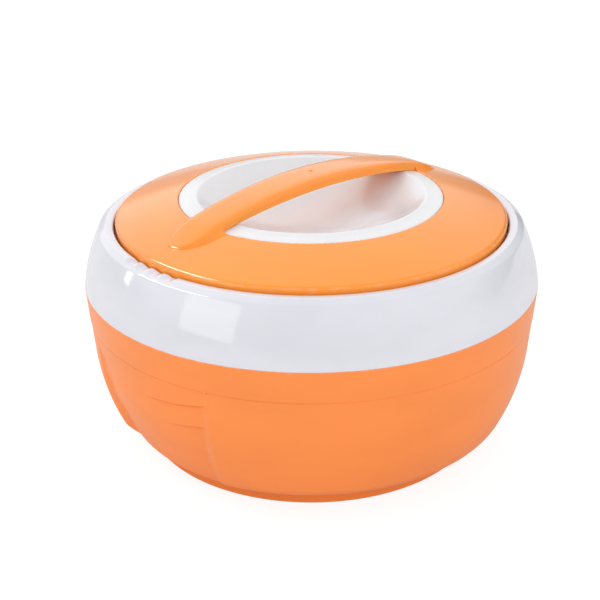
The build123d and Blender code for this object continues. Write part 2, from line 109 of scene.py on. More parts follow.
# Softboxes: name, setting that holds the brightness, turn and climb in degrees, width and height in metres.
SOFTBOXES = (
    ("side_softbox", "side_box", 178, 12.5, 0.58, 0.48),
    ("key_softbox", "key_box", 142, 45, 0.60, 0.30),
    ("low_softbox", "low_box", 127, 7, 0.10, 0.16),
    ("fill_softbox", "fill_box", -100, 24, 0.60, 0.60),
    ("glint_strip", "glint", 138, 42, 0.95, 0.20),
)
SOFTBOX_DISTANCE, SOFTBOX_AIM = 1.2, Vector((0, 0, 0.12))


def length(name, description, default):
    """A length that the sidebar shows with its unit."""
    return bpy.props.FloatProperty(
        name=name, description=description, default=default, precision=5, unit="LENGTH"
    )


def angle(name, description, degrees):
    """An angle, given here in degrees."""
    return bpy.props.FloatProperty(
        name=name, description=description, default=radians(degrees), subtype="ANGLE"
    )


def number(name, description, default):
    """A plain number without a unit."""
    return bpy.props.FloatProperty(name=name, description=description, default=default)


def face_count(name, description, default):
    """A count of faces."""
    return bpy.props.IntProperty(name=name, description=description, default=default, min=32)


def colour(name, description, red, green, blue):
    """A colour, given here as display values from 0 to 255."""
    values = (red / 255, green / 255, blue / 255)
    linear = tuple(v / 12.92 if v <= 0.04045 else ((v + 0.055) / 1.055) ** 2.4 for v in values)
    return bpy.props.FloatVectorProperty(
        name=name, description=description, default=linear, size=3, min=0, max=1, subtype="COLOR"
    )


def place(name, description, point):
    """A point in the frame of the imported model."""
    return bpy.props.FloatVectorProperty(
        name=name, description=description, default=point, size=3, subtype="TRANSLATION", unit="LENGTH"
    )


class ShellSizes(bpy.types.PropertyGroup):
    """Sizes of the outer shell and its finger grips."""

    seam_radius: length("Seam radius", "Radius at the seam with the collar", SHELL_HIGH.x)
    seam_height: length("Seam height", "Height of the seam above the table", SHELL_HIGH.z)
    wall: length("Wall", "Thickness of the shell's wall", 0.0024)
    wall_lean: angle("Wall lean", "Lean of the upper wall from the vertical", 4.7)
    hip_height: length("Hip height", "Height where the wall starts to turn in", 0.042)
    hip_lean: angle("Hip lean", "Lean of the lower wall from the vertical", 24)
    hip_radius: length("Hip radius", "Rounding between the upper and the lower wall", 0.120)
    knuckle_radius: length("Knuckle radius", "Rounding between the lower wall and the underside", 0.016)
    underside_angle: angle("Underside angle", "Slope of the underside", 28)
    foot_inset: length("Foot inset", "How far the standing ring lies inside the seam", 0.0334)
    foot_height: length("Foot height", "Height of the standing ring", 0.0072)
    foot_wall: length("Foot wall", "Thickness of the standing ring", 0.003)
    foot_ledge: length("Foot ledge", "Flat between the standing ring and the underside", 0.0008)
    fill_hole: length("Fill hole", "Radius of the hole for the insulation", 0.009)
    band_height: length("Band height", "Height of the proud band under the seam", 0.0186)
    band_step: length("Band step", "How far the band stands proud", 0.0003)
    groove: length("Shadow groove", "Depth of the fine groove under the band", 0.00035)
    pip_radius: length("Pip radius", "Radius of the pip that the mould leaves on the band's foot", 0.0010)
    pip_sink: length("Pip sink", "How far the pip's middle lies in the wall", 0.0003)
    pip_turn: angle("Pip turn", "Where the pip is, round the bowl", -158.4)
    grip_angle: angle("Grip half angle", "Half the angle that a finger grip takes up", 21.5)
    grip_ramp: angle("Grip ramp", "Angle over which a grip's side rises", 3.5)
    grip_panel: length("Grip panel", "Depth of the shallow panel above the steps", 0.0004)
    grip_panel_drop: length("Panel drop", "Distance from the band to the panel's top", 0.002)
    grip_first: length("First step", "Distance from the seam to the first step", 0.0345)
    grip_pitch: length("Step pitch", "Distance between two steps", 0.0145)
    grip_step: length("Step depth", "Depth that each step adds", 0.00125)
    grip_groove: length("Step groove", "Depth of the fine groove under each step", 0.0006)
    grip_arc: length("Step arc", "Radius of the smile that a step follows", 0.2)
    columns: face_count("Columns", "Faces round the piece", 416)


class CollarSizes(bpy.types.PropertyGroup):
    """Sizes of the white collar and the scallops in its lip."""

    lip_height: length("Lip height", "Height of the lip above the table", COLLAR_HIGH.z)
    wall: length("Wall", "Thickness of the collar's wall", 0.0024)
    bulge: length("Bulge", "How far the wall bows out", 0.0015)
    lip_inset: length("Lip inset", "How far the lip lies inside the seam", 0.0105)
    lip_width: length("Lip width", "Width of the lip", 0.008)
    outer_drop: length("Outer drop", "Fall of the lip towards the wall", 0.0025)
    inner_drop: length("Inner drop", "Fall of the lip towards the lid", 0.0004)
    lip_overhang: length("Lip overhang", "How far the lip reaches past the ledge's wall", 0.0007)
    lip_round: length("Lip rounding", "Rounding of the lip's edges", 0.0012)
    ledge_depth: length("Ledge depth", "Depth of the ledge under the lip", 0.012)
    ledge_width: length("Ledge width", "Width of the ledge", 0.007)
    ledge_thickness: length("Ledge thickness", "Thickness of the ledge", 0.0026)
    spigot_depth: length("Spigot depth", "How far the collar plugs into the shell", 0.008)
    spigot_wall: length("Spigot wall", "Thickness of the spigot", 0.002)
    fit_gap: length("Fit gap", "Gap to the neighbouring pieces", 0.0003)
    scallop_pitch: angle("Scallop pitch", "Angle between two scallops", 5.13)
    scallop_radius: length("Scallop radius", "Radius of a scallop", 0.0064)
    scallop_depth: length("Scallop depth", "Depth of a scallop in the lip", 0.0014)
    columns: face_count("Columns", "Faces round the piece", 512)


class LidSizes(bpy.types.PropertyGroup):
    """Sizes of the lid's cover, its handle and its dish."""

    radius: length("Lid radius", "Radius of the lid's skirt", COVER_HIGH.y)
    base: length("Lid base", "Height of the skirt's lower edge", COVER_LOW.z)
    turn: angle("Lid turn", "Turn of the lid on the bowl", -0.9)
    edge_height: length("Edge height", "Height where the dome would meet the skirt", 0.1397)
    edge_round: length("Edge rounding", "Rounding between the dome and the skirt", 0.0027)
    dome_radius: length("Dome radius", "Radius of the dome", 0.384)
    wall: length("Wall", "Thickness of the cover", 0.0022)
    ring_width: length("Ring width", "Width of the ring round the window", 0.0378)
    window_round: length("Window rounding", "Rounding of the window's edge", 0.0005)
    handle_top: length("Handle top", "Height of the handle's crown", COVER_HIGH.z - 0.0014)
    handle_end_inset: length("Handle end", "Distance from the lid's edge to the handle's end", 0.0124)
    handle_width: length("Handle width", "Width at the middle", 0.027)
    nose_width: length("Nose width", "Width at the shoulders of the ends", 0.0240)
    nose_length: length("Nose length", "Length of the rounded ends", 0.0185)
    nose_drop: length("Nose drop", "Extra fall of the ends under the handle's arch", 0.0021)
    nose_height: length("Nose height", "Height of the ends above the dome", 0.004)
    handle_thickness: length("Handle thickness", "Thickness at the crown", 0.0065)
    handle_fall: length("Handle fall", "Fall of the handle's oval top to its sides", 0.0050)
    nose_fall: length("Nose fall", "Fall of the ends' top to their edge", 0.0020)
    root_slope: number("Root slope", "Steepness of the handle's foot on the ring", 2.2)
    oval: number("Oval", "How square the oval of the handle's top is", 4.0)
    nose_slope: number("Nose slope", "Steepness of the ends' faces", 5.0)
    root_blend: length("Root blend", "Height over which the handle flows into the ring", 0.0030)
    nose_blend: length("Nose blend", "The same round the ends", 0.0008)
    handle_wall: length("Handle wall", "Wall of the hollow handle", 0.0038)
    gate_radius: length("Gate radius", "Radius of the raised ring round the moulding gate", 0.0015)
    gate_height: length("Gate height", "Height of that ring", 0.0004)
    gate_depth: length("Gate depth", "Depth of the pit in its middle", 0.0006)
    dish_wall: length("Dish wall", "Thickness of the dish", 0.002)
    dish_band: length("Dish band", "Width of the dish's outer band", 0.0106)
    dish_band_drop: length("Band drop", "How far the band lies under the dome", 0.0003)
    dish_depth: length("Dish depth", "Depth of the hollow under the handle", 0.018)
    dish_crease: length("Dish crease", "Rounding between the band and the hollow", 0.003)
    dish_flange: length("Dish flange", "Reach of the flange under the ring", 0.0065)
    fit_gap: length("Fit gap", "Gap to the neighbouring pieces", 0.0003)
    columns: face_count("Columns", "Faces round the piece", 360)


class Finishes(bpy.types.PropertyGroup):
    """Colours of the materials."""

    shell: colour("Shell orange", "Satin orange of the shell", 252, 142, 64)
    lid: colour("Lid orange", "Glossy orange of the lid", 255, 150, 46)
    white: colour("White", "Cool white of the collar", 221, 221, 229)
    dish: colour("Dish white", "Warmer white of the dish in the lid", 242, 241, 245)
    liner: colour("Liner white", "White of the inner lid", 232, 232, 230)
    steel: colour("Steel", "Steel of the inner bowl", 196, 198, 201)
    foam: colour("Foam", "Insulating foam", 232, 214, 160)
    rubber: colour("Rubber", "Soft seal", 205, 206, 208)
    floor: colour("Floor", "Pale floor", 250, 250, 250)


class StageSettings(bpy.types.PropertyGroup):
    """Camera and lights."""

    camera: place("Camera", "Where the camera stands", (-0.48732, -0.51093, 0.40097))
    target: place("Target", "What the camera looks at", (-0.00522, 0.00473, 0.08037))
    lens: number("Lens", "Focal length in millimetres on a 36 mm sensor", 75.122)
    roll: angle("Roll", "Turn of the camera about its own axis", -0.497)
    sky: number("Sky", "Brightness of the studio overhead", 0.79)
    horizon: number("Horizon", "Brightness of the studio near the table", 0.60)
    bright_wall: number("Bright wall", "What the wall behind on the left adds", 0.55)
    front_wall: number("Front wall", "What the dark side behind the camera takes away", 0.15)
    dim_wall: number("Dim wall", "What the wall on the right takes away", 0.72)
    fill_wall: number("Fill wall", "What the wall in front on the right adds", 0.32)
    ceiling: number("Ceiling", "What the dark ceiling takes away overhead", 0.10)
    side_box: number("Side softbox", "Brightness of the softbox on the left", 1.8)
    key_box: number("Key softbox", "Brightness of the softbox high on the left", 3.2)
    low_box: number("Low softbox", "Brightness of the small softbox behind on the left", 3.2)
    fill_box: number("Fill softbox", "Brightness of the softbox in front, which shows in no gloss", 2.0)
    glint: number("Glint strip", "Brightness of the strip that only shows in gloss", 16.0)
    glow: number("Floor glow", "Light that comes up through the floor", 0.85)


class Term:
    """One value in a node tree. Its arithmetic adds Math nodes, so a rule reads like a sum."""

    def __init__(self, tree, socket):
        self.tree = tree
        self.socket = socket

    def math(self, operation, *others):
        """Result of a Math node on this value and the others."""
        node = self.tree.nodes.new("ShaderNodeMath")
        node.operation = operation
        for socket, value in zip(node.inputs, (self, *others)):
            feed(self.tree, socket, value)
        return Term(self.tree, node.outputs[0])

    def __add__(self, other):
        return self.math("ADD", other)

    def __sub__(self, other):
        return self.math("SUBTRACT", other)

    def __mul__(self, other):
        return self.math("MULTIPLY", other)

    def __truediv__(self, other):
        return self.math("DIVIDE", other)

    def least(self, other, soft):
        """The smaller of two values, with a soft change from one to the other."""
        return self.math("SMOOTH_MIN", other, soft)

    def clamped(self):
        """The value kept between 0 and 1."""
        return self.math("MAXIMUM", 0.0).math("MINIMUM", 1.0)

    def eased(self, low, high):
        """0 at low, 1 at high and a smooth rise between them."""
        node = add_node(self.tree, "ShaderNodeMapRange", {"interpolation_type": "SMOOTHSTEP"})
        for name, value in (("Value", self), ("From Min", low), ("From Max", high)):
            feed(self.tree, named(node.inputs, name), value)
        return Term(self.tree, named(node.outputs, "Result"))


def feed(tree, socket, value):
    """Links a term to a socket, or sets the socket's own value."""
    if isinstance(value, Term):
        tree.links.new(value.socket, socket)
    elif isinstance(value, bpy.types.NodeSocket):
        tree.links.new(value, socket)
    elif socket.type == "RGBA" and len(value) == 3:
        socket.default_value = (*value, 1)
    else:
        socket.default_value = value


def named(sockets, name):
    """The socket of that name that is in use."""
    return next(s for s in sockets if s.name == name and s.enabled)


def add_node(tree, kind, settings=None, **inputs):
    """New node with its settings and its inputs, whose names are written with underscores for spaces."""
    node = tree.nodes.new(kind)
    for key, value in (settings or {}).items():
        setattr(node, key, value)
    for key, value in inputs.items():
        feed(tree, named(node.inputs, key.replace("_", " ")), value)
    return node


def node_value(tree, kind, output, settings=None, **inputs):
    """One output of a new node, as a term."""
    return Term(tree, named(add_node(tree, kind, settings, **inputs).outputs, output))


def axes(tree, vector):
    """The three parts of a vector, as terms."""
    split = add_node(tree, "ShaderNodeSeparateXYZ", Vector=vector)
    return [Term(tree, split.outputs[axis]) for axis in "XYZ"]


def geometry_tree(name, inputs):
    """Empty geometry tree with named inputs. Gives the tree, its inputs as terms and its output socket."""
    tree = bpy.data.node_groups.new(name, "GeometryNodeTree")
    tree.interface.new_socket("Geometry", in_out="INPUT", socket_type="NodeSocketGeometry")
    tree.interface.new_socket("Geometry", in_out="OUTPUT", socket_type="NodeSocketGeometry")
    for key, kind in inputs.items():
        tree.interface.new_socket(key, in_out="INPUT", socket_type=kind)
    start = tree.nodes.new("NodeGroupInput")
    end = tree.nodes.new("NodeGroupOutput")
    return tree, {s.name: Term(tree, s) for s in start.outputs if s.name}, end.inputs["Geometry"]


def finish_tree(tree, geometry, material, output):
    """Ends a tree: smooth shading, real geometry and the material."""
    smooth = add_node(tree, "GeometryNodeSetShadeSmooth", Geometry=geometry)
    real = add_node(tree, "GeometryNodeRealizeInstances", Geometry=smooth.outputs[0])
    painted = add_node(tree, "GeometryNodeSetMaterial", Geometry=real.outputs[0], Material=material)
    tree.links.new(painted.outputs[0], output)


def add_modifier(obj, tree, values):
    """Puts a tree on an object and sets its inputs by their identifiers."""
    modifier = obj.modifiers.new(tree.name, "NODES")
    modifier.node_group = tree
    for item in tree.interface.items_tree:
        if item.in_out == "INPUT" and item.name in values:
            modifier[item.identifier] = values[item.name]


def turned_tree():
    """Tree that turns a profile round the Z axis and presses stepped finger grips into it at the ends of X.

    The profile's points carry how far they move in at full grip depth (recess), the depth that the steps ask
    for (depth), how far they slide up along the step's arc (slide), their place along the profile (run) and
    how worn they are (wear).
    """
    tree, given, output = geometry_tree(
        "turned_wall",
        {
            "Columns": "NodeSocketInt",
            "Crowding": "NodeSocketFloat",
            "Grip angle": "NodeSocketFloat",
            "Grip ramp": "NodeSocketFloat",
            "Grip depth": "NodeSocketFloat",
            "Grip arc": "NodeSocketFloat",
            "Material": "NodeSocketMaterial",
        },
    )
    profile = given["Geometry"]
    rows = node_value(
        tree, "GeometryNodeAttributeDomainSize", "Point Count", {"component": "MESH"}, Geometry=profile
    )
    grid = add_node(
        tree, "GeometryNodeMeshGrid", Size_X=1.0, Size_Y=1.0, Vertices_X=given["Columns"] + 1, Vertices_Y=rows
    )
    across, along, _ = axes(tree, add_node(tree, "GeometryNodeInputPosition").outputs[0])
    row = ((along + 0.5) * (rows - 1)).math("ROUND")
    even = (across + 0.5) * (2 * pi)
    turn = even - (even * 2).math("SINE") * (given["Crowding"] * 0.5)

    def stored(name, kind):
        """A value that the profile's points carry."""
        return node_value(
            tree, "GeometryNodeInputNamedAttribute", "Attribute", {"data_type": kind}, Name=name
        )

    def carried(name):
        """The same, read at the grid's own row."""
        return node_value(
            tree, "GeometryNodeSampleIndex", "Value", {"data_type": "FLOAT"},
            Geometry=profile, Value=stored(name, "FLOAT"), Index=row,
        )

    side = turn.math("SINE").math("ABSOLUTE")
    swing = side.math("ARCSINE")
    reach = side * SHELL_HIGH.x
    reach = reach.math("MINIMUM", (given["Grip angle"] * SMILE_END).math("SINE") * SHELL_HIGH.x)
    sag = given["Grip arc"] - (given["Grip arc"] * given["Grip arc"] - reach * reach).math("SQRT")
    fade = swing.eased(*(given["Grip angle"] * part for part in SMILE_FADE))
    run = carried("run") - sag * fade * carried("slide")
    curve = add_node(tree, "GeometryNodeMeshToCurve", Mesh=profile)
    skin = add_node(
        tree, "GeometryNodeSampleCurve",
        {"mode": "LENGTH", "data_type": "FLOAT_VECTOR", "use_all_curves": True},
        Curves=curve.outputs[0], Value=stored("recess", "FLOAT_VECTOR"), Length=run,
    )
    ramp = ((given["Grip angle"] - swing) / given["Grip ramp"]).clamped() * given["Grip depth"]
    depth = carried("depth").least(ramp, RAMP_SOFT).math("MAXIMUM", 0.0) / given["Grip depth"]
    outside, _, level = axes(tree, named(skin.outputs, "Position"))
    inward, _, drop = axes(tree, named(skin.outputs, "Value"))
    radius = outside + inward * depth
    height = level + drop * depth
    point = add_node(
        tree, "ShaderNodeCombineXYZ", X=radius * turn.math("COSINE"), Y=radius * turn.math("SINE"), Z=height
    )
    worn = add_node(
        tree, "GeometryNodeStoreNamedAttribute", {"data_type": "FLOAT", "domain": "POINT"},
        Geometry=grid.outputs["Mesh"], Name="wear", Value=carried("wear"),
    )
    placed = add_node(tree, "GeometryNodeSetPosition", Geometry=worn.outputs[0], Position=point.outputs[0])
    joined = add_node(tree, "GeometryNodeMergeByDistance", Geometry=placed.outputs[0], Distance=1e-6)
    finish_tree(tree, joined.outputs[0], given["Material"], output)
    return tree


def scallop_tree():
    """Tree that presses four scallops into a lip at each end of X."""
    tree, given, output = geometry_tree(
        "scalloped_lip",
        {
            "Pitch": "NodeSocketFloat",
            "Radius": "NodeSocketFloat",
            "Middle": "NodeSocketFloat",
            "Material": "NodeSocketMaterial",
        },
    )
    x, y, z = axes(tree, add_node(tree, "GeometryNodeInputPosition").outputs[0])
    radius = (x * x + y * y).math("SQRT")
    swing = y.math("ABSOLUTE").math("ARCTAN2", x.math("ABSOLUTE"))
    nearest = (swing / given["Pitch"]).math("FLOOR").clamped()
    across = (swing - (nearest + 0.5) * given["Pitch"]).math("SINE") * radius
    hollow = (given["Radius"] * given["Radius"] - across * across).math("MAXIMUM", 0.0).math("SQRT")
    lowered = z.least(given["Middle"] - hollow, SCALLOP_SOFT)
    point = add_node(tree, "ShaderNodeCombineXYZ", X=x, Y=y, Z=lowered)
    cut = add_node(tree, "GeometryNodeSetPosition", Geometry=given["Geometry"], Position=point.outputs[0])
    finish_tree(tree, cut.outputs[0], given["Material"], output)
    return tree


def store(mesh, values):
    """Gives a mesh named values at its points."""
    for name, numbers in values.items():
        mesh.attributes.new(name, "FLOAT", "POINT").data.foreach_set("value", np.asarray(numbers, np.float32))


def profile_object(points, **attributes):
    """Line of edges in the XZ plane, with the values that the turned tree reads at each point."""
    points = np.asarray(points, float)
    mesh = bpy.data.meshes.new("profile")
    rows = [(r, 0, z) for r, z in points]
    mesh.from_pydata(rows, [(i, i + 1) for i in range(len(rows) - 1)], [])
    steps = np.hypot(*np.diff(points, axis=0).T)
    values = {"run": np.concatenate(([0.0], np.cumsum(steps)))}
    for name in ("depth", "slide", "wear"):
        values[name] = attributes.get(name, np.zeros(len(points)))
    store(mesh, values)
    recess = np.zeros((len(points), 3), np.float32)
    if "recess" in attributes:
        recess[:, [0, 2]] = attributes["recess"]
    mesh.attributes.new("recess", "FLOAT_VECTOR", "POINT").data.foreach_set("vector", recess.ravel())
    obj = bpy.data.objects.new("profile", mesh)
    bpy.context.scene.collection.objects.link(obj)
    return obj


def finished_piece(name, source, material):
    """Plain mesh piece made from an object with live modifiers, which is then removed."""
    graph = bpy.context.evaluated_depsgraph_get()
    mesh = bpy.data.meshes.new_from_object(source.evaluated_get(graph))
    bpy.data.objects.remove(source)
    return piece_from_mesh(name, mesh, material)


def piece_from_mesh(name, mesh, material, crease=40):
    """Piece with outward faces, one material and smooth shading between sharp edges."""
    work = bmesh.new()
    work.from_mesh(mesh)
    bmesh.ops.dissolve_degenerate(work, dist=1e-7, edges=work.edges)
    bmesh.ops.recalc_face_normals(work, faces=work.faces)
    loose = [edge for edge in work.edges if len(edge.link_faces) != 2]
    work.to_mesh(mesh)
    work.free()
    if not mesh.polygons or loose:
        raise RuntimeError(f"{name} isn't a closed shape: {len(loose)} open edges")
    mesh.name = name
    mesh.materials.clear()
    mesh.materials.append(material)
    mesh.shade_smooth()
    mesh.set_sharp_from_angle(angle=radians(crease))
    obj = bpy.data.objects.new(name, mesh)
    bpy.context.scene.collection.objects.link(obj)
    return obj


def settle(piece, body, node):
    """Hangs a piece on the empty of the body it rides on, and hides the node it stands for."""
    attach(piece, body)
    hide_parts(node)


def bend_at(before, here, after):
    """Angle by which a line turns at a corner."""
    into, out = here - before, after - here
    return atan2(into[0] * out[1] - into[1] * out[0], into @ out)


def corner_arc(before, here, after, radius, count):
    """Points of the arc that rounds a corner of a line."""
    into = (here - before) / hypot(*(here - before))
    bend = bend_at(before, here, after)
    side = np.sign(bend) * np.array([-into[1], into[0]])
    centre = here - into * radius * tan(abs(bend) / 2) + side * radius
    arm = -side * radius
    turns = np.linspace(0, bend, count)
    c, s = np.cos(turns), np.sin(turns)
    return centre + np.stack([c * arm[0] - s * arm[1], s * arm[0] + c * arm[1]], axis=1)


def rounded_line(corners, spacing=0.004, turn=radians(12)):
    """Points along a line whose corners are given as radius, height and rounding."""
    corners = np.asarray(corners, float)
    places, roundings = corners[:, :2], corners[:, 2]
    points = [places[0]]
    for before, here, after, radius in zip(places, places[1:], places[2:], roundings[1:]):
        bend = abs(bend_at(before, here, after))
        if radius <= 0 or bend < 1e-3:
            points.append(here)
        else:
            points.extend(corner_arc(before, here, after, radius, max(2, ceil(bend / turn)) + 1))
    points.append(places[-1])
    return filled_line(points, spacing)


def filled_line(points, spacing):
    """The same line with no step longer than the spacing."""
    full = [np.asarray(points[0], float)]
    for end in points[1:]:
        start = full[-1]
        count = max(1, ceil(hypot(*(end - start)) / spacing))
        full.extend(start + (end - start) * i / count for i in range(1, count + 1))
    return np.array(full)


def body_skin(sizes, inset, floor_inset=0.0):
    """Closely spaced points of the body's outside, from the seam to the underside's inner edge.

    The insets move the walls and the underside in. Points with the same number match each other.
    """
    wall_slope = tan(sizes.wall_lean)
    hip_slope = tan(sizes.hip_lean)
    rise = tan(sizes.underside_angle)
    floor = sizes.foot_height + floor_inset
    lift = floor_inset / cos(sizes.underside_angle)
    edge = sizes.seam_radius - sizes.foot_inset + sizes.foot_ledge + (floor_inset - lift) / rise

    def wall_radius(height):
        outer = sizes.seam_radius - sizes.band_step - (sizes.seam_height - height) * wall_slope
        return outer - inset / cos(sizes.wall_lean)

    hip_lift = inset * (1 / cos(sizes.hip_lean) - 1 / cos(sizes.wall_lean))
    hip_top = sizes.hip_height + hip_lift / (hip_slope - wall_slope)
    hip = np.array([wall_radius(hip_top), hip_top])
    knuckle_rise = (hip[0] - hip_top * hip_slope - edge) * rise
    knuckle_height = (floor + knuckle_rise) / (1 - rise * hip_slope)
    knuckle = np.array([hip[0] - (hip_top - knuckle_height) * hip_slope, knuckle_height])
    seam = np.array([wall_radius(sizes.seam_height), sizes.seam_height])
    stops = [seam, hip, knuckle, np.array([edge, floor])]
    points, start = [], stops[0]
    for number_here, radius in ((1, sizes.hip_radius), (2, sizes.knuckle_radius)):
        arc = corner_arc(*stops[number_here - 1 : number_here + 2], radius - inset, SKIN_STEPS)
        points.extend(start + (arc[0] - start) * t for t in np.linspace(0, 1, SKIN_STEPS, endpoint=False))
        points.extend(arc)
        start = arc[-1]
    points.extend(start + (stops[3] - start) * t for t in np.linspace(0, 1, SKIN_STEPS)[1:])
    return np.array(points)


def rows_at(skin, heights):
    """Numbers of the points of a skin at the given heights, with fractions."""
    return np.interp(-np.asarray(heights), -skin[:, 1], np.arange(len(skin)))


def points_at(skin, numbers):
    """Points of a skin at fractional numbers."""
    every = np.arange(len(skin))
    return np.stack([np.interp(numbers, every, skin[:, axis]) for axis in (0, 1)], axis=1)


def eased(value, low, high):
    """0 at low, 1 at high and a smooth rise between them."""
    t = np.clip((np.asarray(value, float) - low) / (high - low), 0, 1)
    return t * t * (3 - 2 * t)


def band_edge(sizes, skin):
    """Radius and height of the lower edge of the proud band."""
    height = sizes.seam_height - sizes.band_height
    return points_at(skin, rows_at(skin, [height]))[0, 0] + sizes.band_step, height


def shell_head(sizes, skin, wall, inner_radius):
    """Line over the seam, down the band and past the shadow groove, which stops short of the wall's rows."""
    seam_round, band_round, groove_round, wall_round = 0.0004, 0.00015, 0.0001, 0.0003
    groove_top, groove_foot, wall_rise = 0.0001, 0.00055, 0.0003
    edge, band_foot = band_edge(sizes, skin)
    groove_back = edge - sizes.band_step - sizes.groove
    corners = [
        (inner_radius, sizes.seam_height, 0),
        (skin[0, 0] + sizes.band_step, sizes.seam_height, seam_round),
        (edge, band_foot, band_round),
        (groove_back, band_foot - groove_top, groove_round),
        (groove_back, band_foot - groove_foot, groove_round),
        (wall[0, 0], wall[0, 1] + wall_rise, wall_round),
        (*wall[1], 0),
    ]
    return rounded_line(corners)[:-1]


def shell_base(sizes, start, end):
    """Line from the wall's lower end round the standing ring and the filling hole to the inside."""
    ledge_round, ring_round, root_round, hole_round = 0.0005, 0.0009, 0.001, 0.0003
    foot = sizes.seam_radius - sizes.foot_inset
    back = foot - sizes.foot_wall
    corners = [
        (*start, 0),
        (foot, sizes.foot_height, ledge_round),
        (foot, 0, ring_round),
        (back, 0, ring_round),
        (back, sizes.foot_height, root_round),
        (sizes.fill_hole, sizes.foot_height, hole_round),
        (sizes.fill_hole, sizes.foot_height + sizes.wall, hole_round),
        (*end, 0),
    ]
    return rounded_line(corners, spacing=0.02)[1:]


def shell_profile(sizes):
    """Closed profile of the shell with what the turned tree needs at each point, and the grips' depth."""
    # Half a ledge's height, and where the groove under it starts and is full.
    half_ledge, groove_foot, groove_full = 0.00018, 0.0011, 0.0008
    # Rows: the wall's lowest, where those of the underside start, their distance, and room at steps and band.
    lowest_row, low_wall, row_gap, step_room, band_room = 0.0215, 0.0205, 0.0016, 0.0017, 0.0012
    low_rows, inside_rows = 26, 34
    # The grips fade out over the last rows of the outside and the first rows of the inside.
    fade_starts, fade_ends, inside_fade = 12, 2, 4
    # The steps' smile fades out towards the band and towards the table.
    slide_top, slide_low, slide_high = 0.0125, 0.019, 0.027
    inside_ramp = 0.006
    seam_wear, foot_wear = 0.0012, 0.0015
    count_of_steps = len(GROOVE_SHARES)
    grip_depth = sizes.grip_panel + count_of_steps * sizes.grip_step + max(GROOVE_SHARES) * sizes.grip_groove
    steps = [sizes.seam_height - sizes.grip_first - i * sizes.grip_pitch for i in range(count_of_steps)]
    band_foot = sizes.seam_height - sizes.band_height
    panel_top = band_foot - sizes.grip_panel_drop
    skin = body_skin(sizes, 0)
    deep_skin = body_skin(sizes, grip_depth)

    def asked_depth(height):
        depth = sizes.grip_panel * (1 - eased(height, panel_top - half_ledge, panel_top + half_ledge))
        for groove_share, step in zip(GROOVE_SHARES, steps):
            below = 1 - eased(height, step - half_ledge, step + half_ledge)
            groove = groove_share * sizes.grip_groove * eased(height, step - groove_foot, step - groove_full)
            depth = depth + (sizes.grip_step + groove) * below
        return depth

    ledges = (*steps, panel_top)
    heights = np.arange(lowest_row, band_foot - band_room, row_gap)
    heights = [h for h in heights if min(abs(h - ledge) for ledge in ledges) > step_room]
    heights = sorted(heights + [ledge + row for ledge in ledges for row in STEP_ROWS], reverse=True)
    under_wall = np.linspace(rows_at(skin, low_wall), len(skin) - 1, low_rows)
    numbers = np.concatenate([rows_at(skin, heights), under_wall])
    wall = points_at(skin, numbers)
    recess = points_at(deep_skin, numbers) - wall
    last = len(numbers)
    recess *= (1 - eased(np.arange(last), last - fade_starts, last - fade_ends))[:, None]
    slide = 1 - eased(wall[:, 1], band_foot - slide_top, band_foot)
    slide = slide * eased(wall[:, 1], slide_low, slide_high)

    inner_skin = body_skin(sizes, sizes.wall, sizes.wall)
    inner_deep = body_skin(sizes, sizes.wall + grip_depth, sizes.wall)
    head = shell_head(sizes, skin, wall, inner_skin[0, 0])
    base = shell_base(sizes, wall[-1], inner_skin[-1])
    inside_numbers = np.linspace(len(inner_skin) - 1, 0, inside_rows)[1:]
    inside = points_at(inner_skin, inside_numbers)
    inside_recess = points_at(inner_deep, inside_numbers) - inside
    inside_recess *= eased(np.arange(len(inside)), 0, inside_fade)[:, None]
    inside_depth = grip_depth * (1 - eased(inside[:, 1], panel_top - inside_ramp, panel_top))
    inside[-1] = head[0]
    points = np.concatenate([head, wall[1:], base, inside])
    no_head, no_base, no_inside = (np.zeros(len(part)) for part in (head, base, inside))
    worn_seam = np.exp(-np.abs(head[:, 1] - sizes.seam_height) / seam_wear)
    worn_foot = np.exp(-base[:, 1] / foot_wear)
    profile = profile_object(
        points,
        recess=np.concatenate([np.zeros_like(head), recess[1:], np.zeros_like(base), inside_recess]),
        depth=np.concatenate([no_head, asked_depth(wall[1:, 1]), no_base, inside_depth]),
        slide=np.concatenate([no_head, slide[1:], no_base, no_inside]),
        wear=np.concatenate([worn_seam, np.zeros(len(wall) - 1), worn_foot, no_inside]),
    )
    return profile, grip_depth


def turned_piece(name, profile, material, columns, crowding=0.0, grip=None, extra=None):
    """Piece made by the turned tree, and by a second tree where one is given."""
    tree = bpy.data.node_groups.get("turned_wall") or turned_tree()
    add_modifier(
        profile, tree,
        {"Columns": columns, "Crowding": crowding, "Material": material, **(grip or NO_GRIP)},
    )
    if extra:
        add_modifier(profile, *extra)
    return finished_piece(name, profile, material)


def material_tree(name):
    """New material. Gives it, its tree, its shader and the object coordinates as a term."""
    material = bpy.data.materials.new(name)
    material.use_nodes = True
    tree = material.node_tree
    where = Term(tree, add_node(tree, "ShaderNodeTexCoord").outputs["Object"])
    return material, tree, tree.nodes["Principled BSDF"], where


def stretched(tree, where, scale, turn=(0, 0, 0)):
    """Coordinates turned and scaled by a Mapping node."""
    return node_value(tree, "ShaderNodeMapping", "Vector", Vector=where, Rotation=turn, Scale=scale)


def noise(tree, where, scale, detail=2.0, rough=0.5):
    """Noise from 0 to 1 with so many grains to the metre."""
    return node_value(
        tree, "ShaderNodeTexNoise", "Fac", {"noise_dimensions": "3D"},
        Vector=where, Scale=scale, Detail=detail, Roughness=rough,
    )


def blended(tree, factor, first, second):
    """Mix of two colours."""
    node = add_node(tree, "ShaderNodeMix", {"data_type": "RGBA", "clamp_factor": True})
    for number_of_socket, value in ((0, factor), (6, first), (7, second)):
        feed(tree, node.inputs[number_of_socket], value)
    return Term(tree, node.outputs[2])


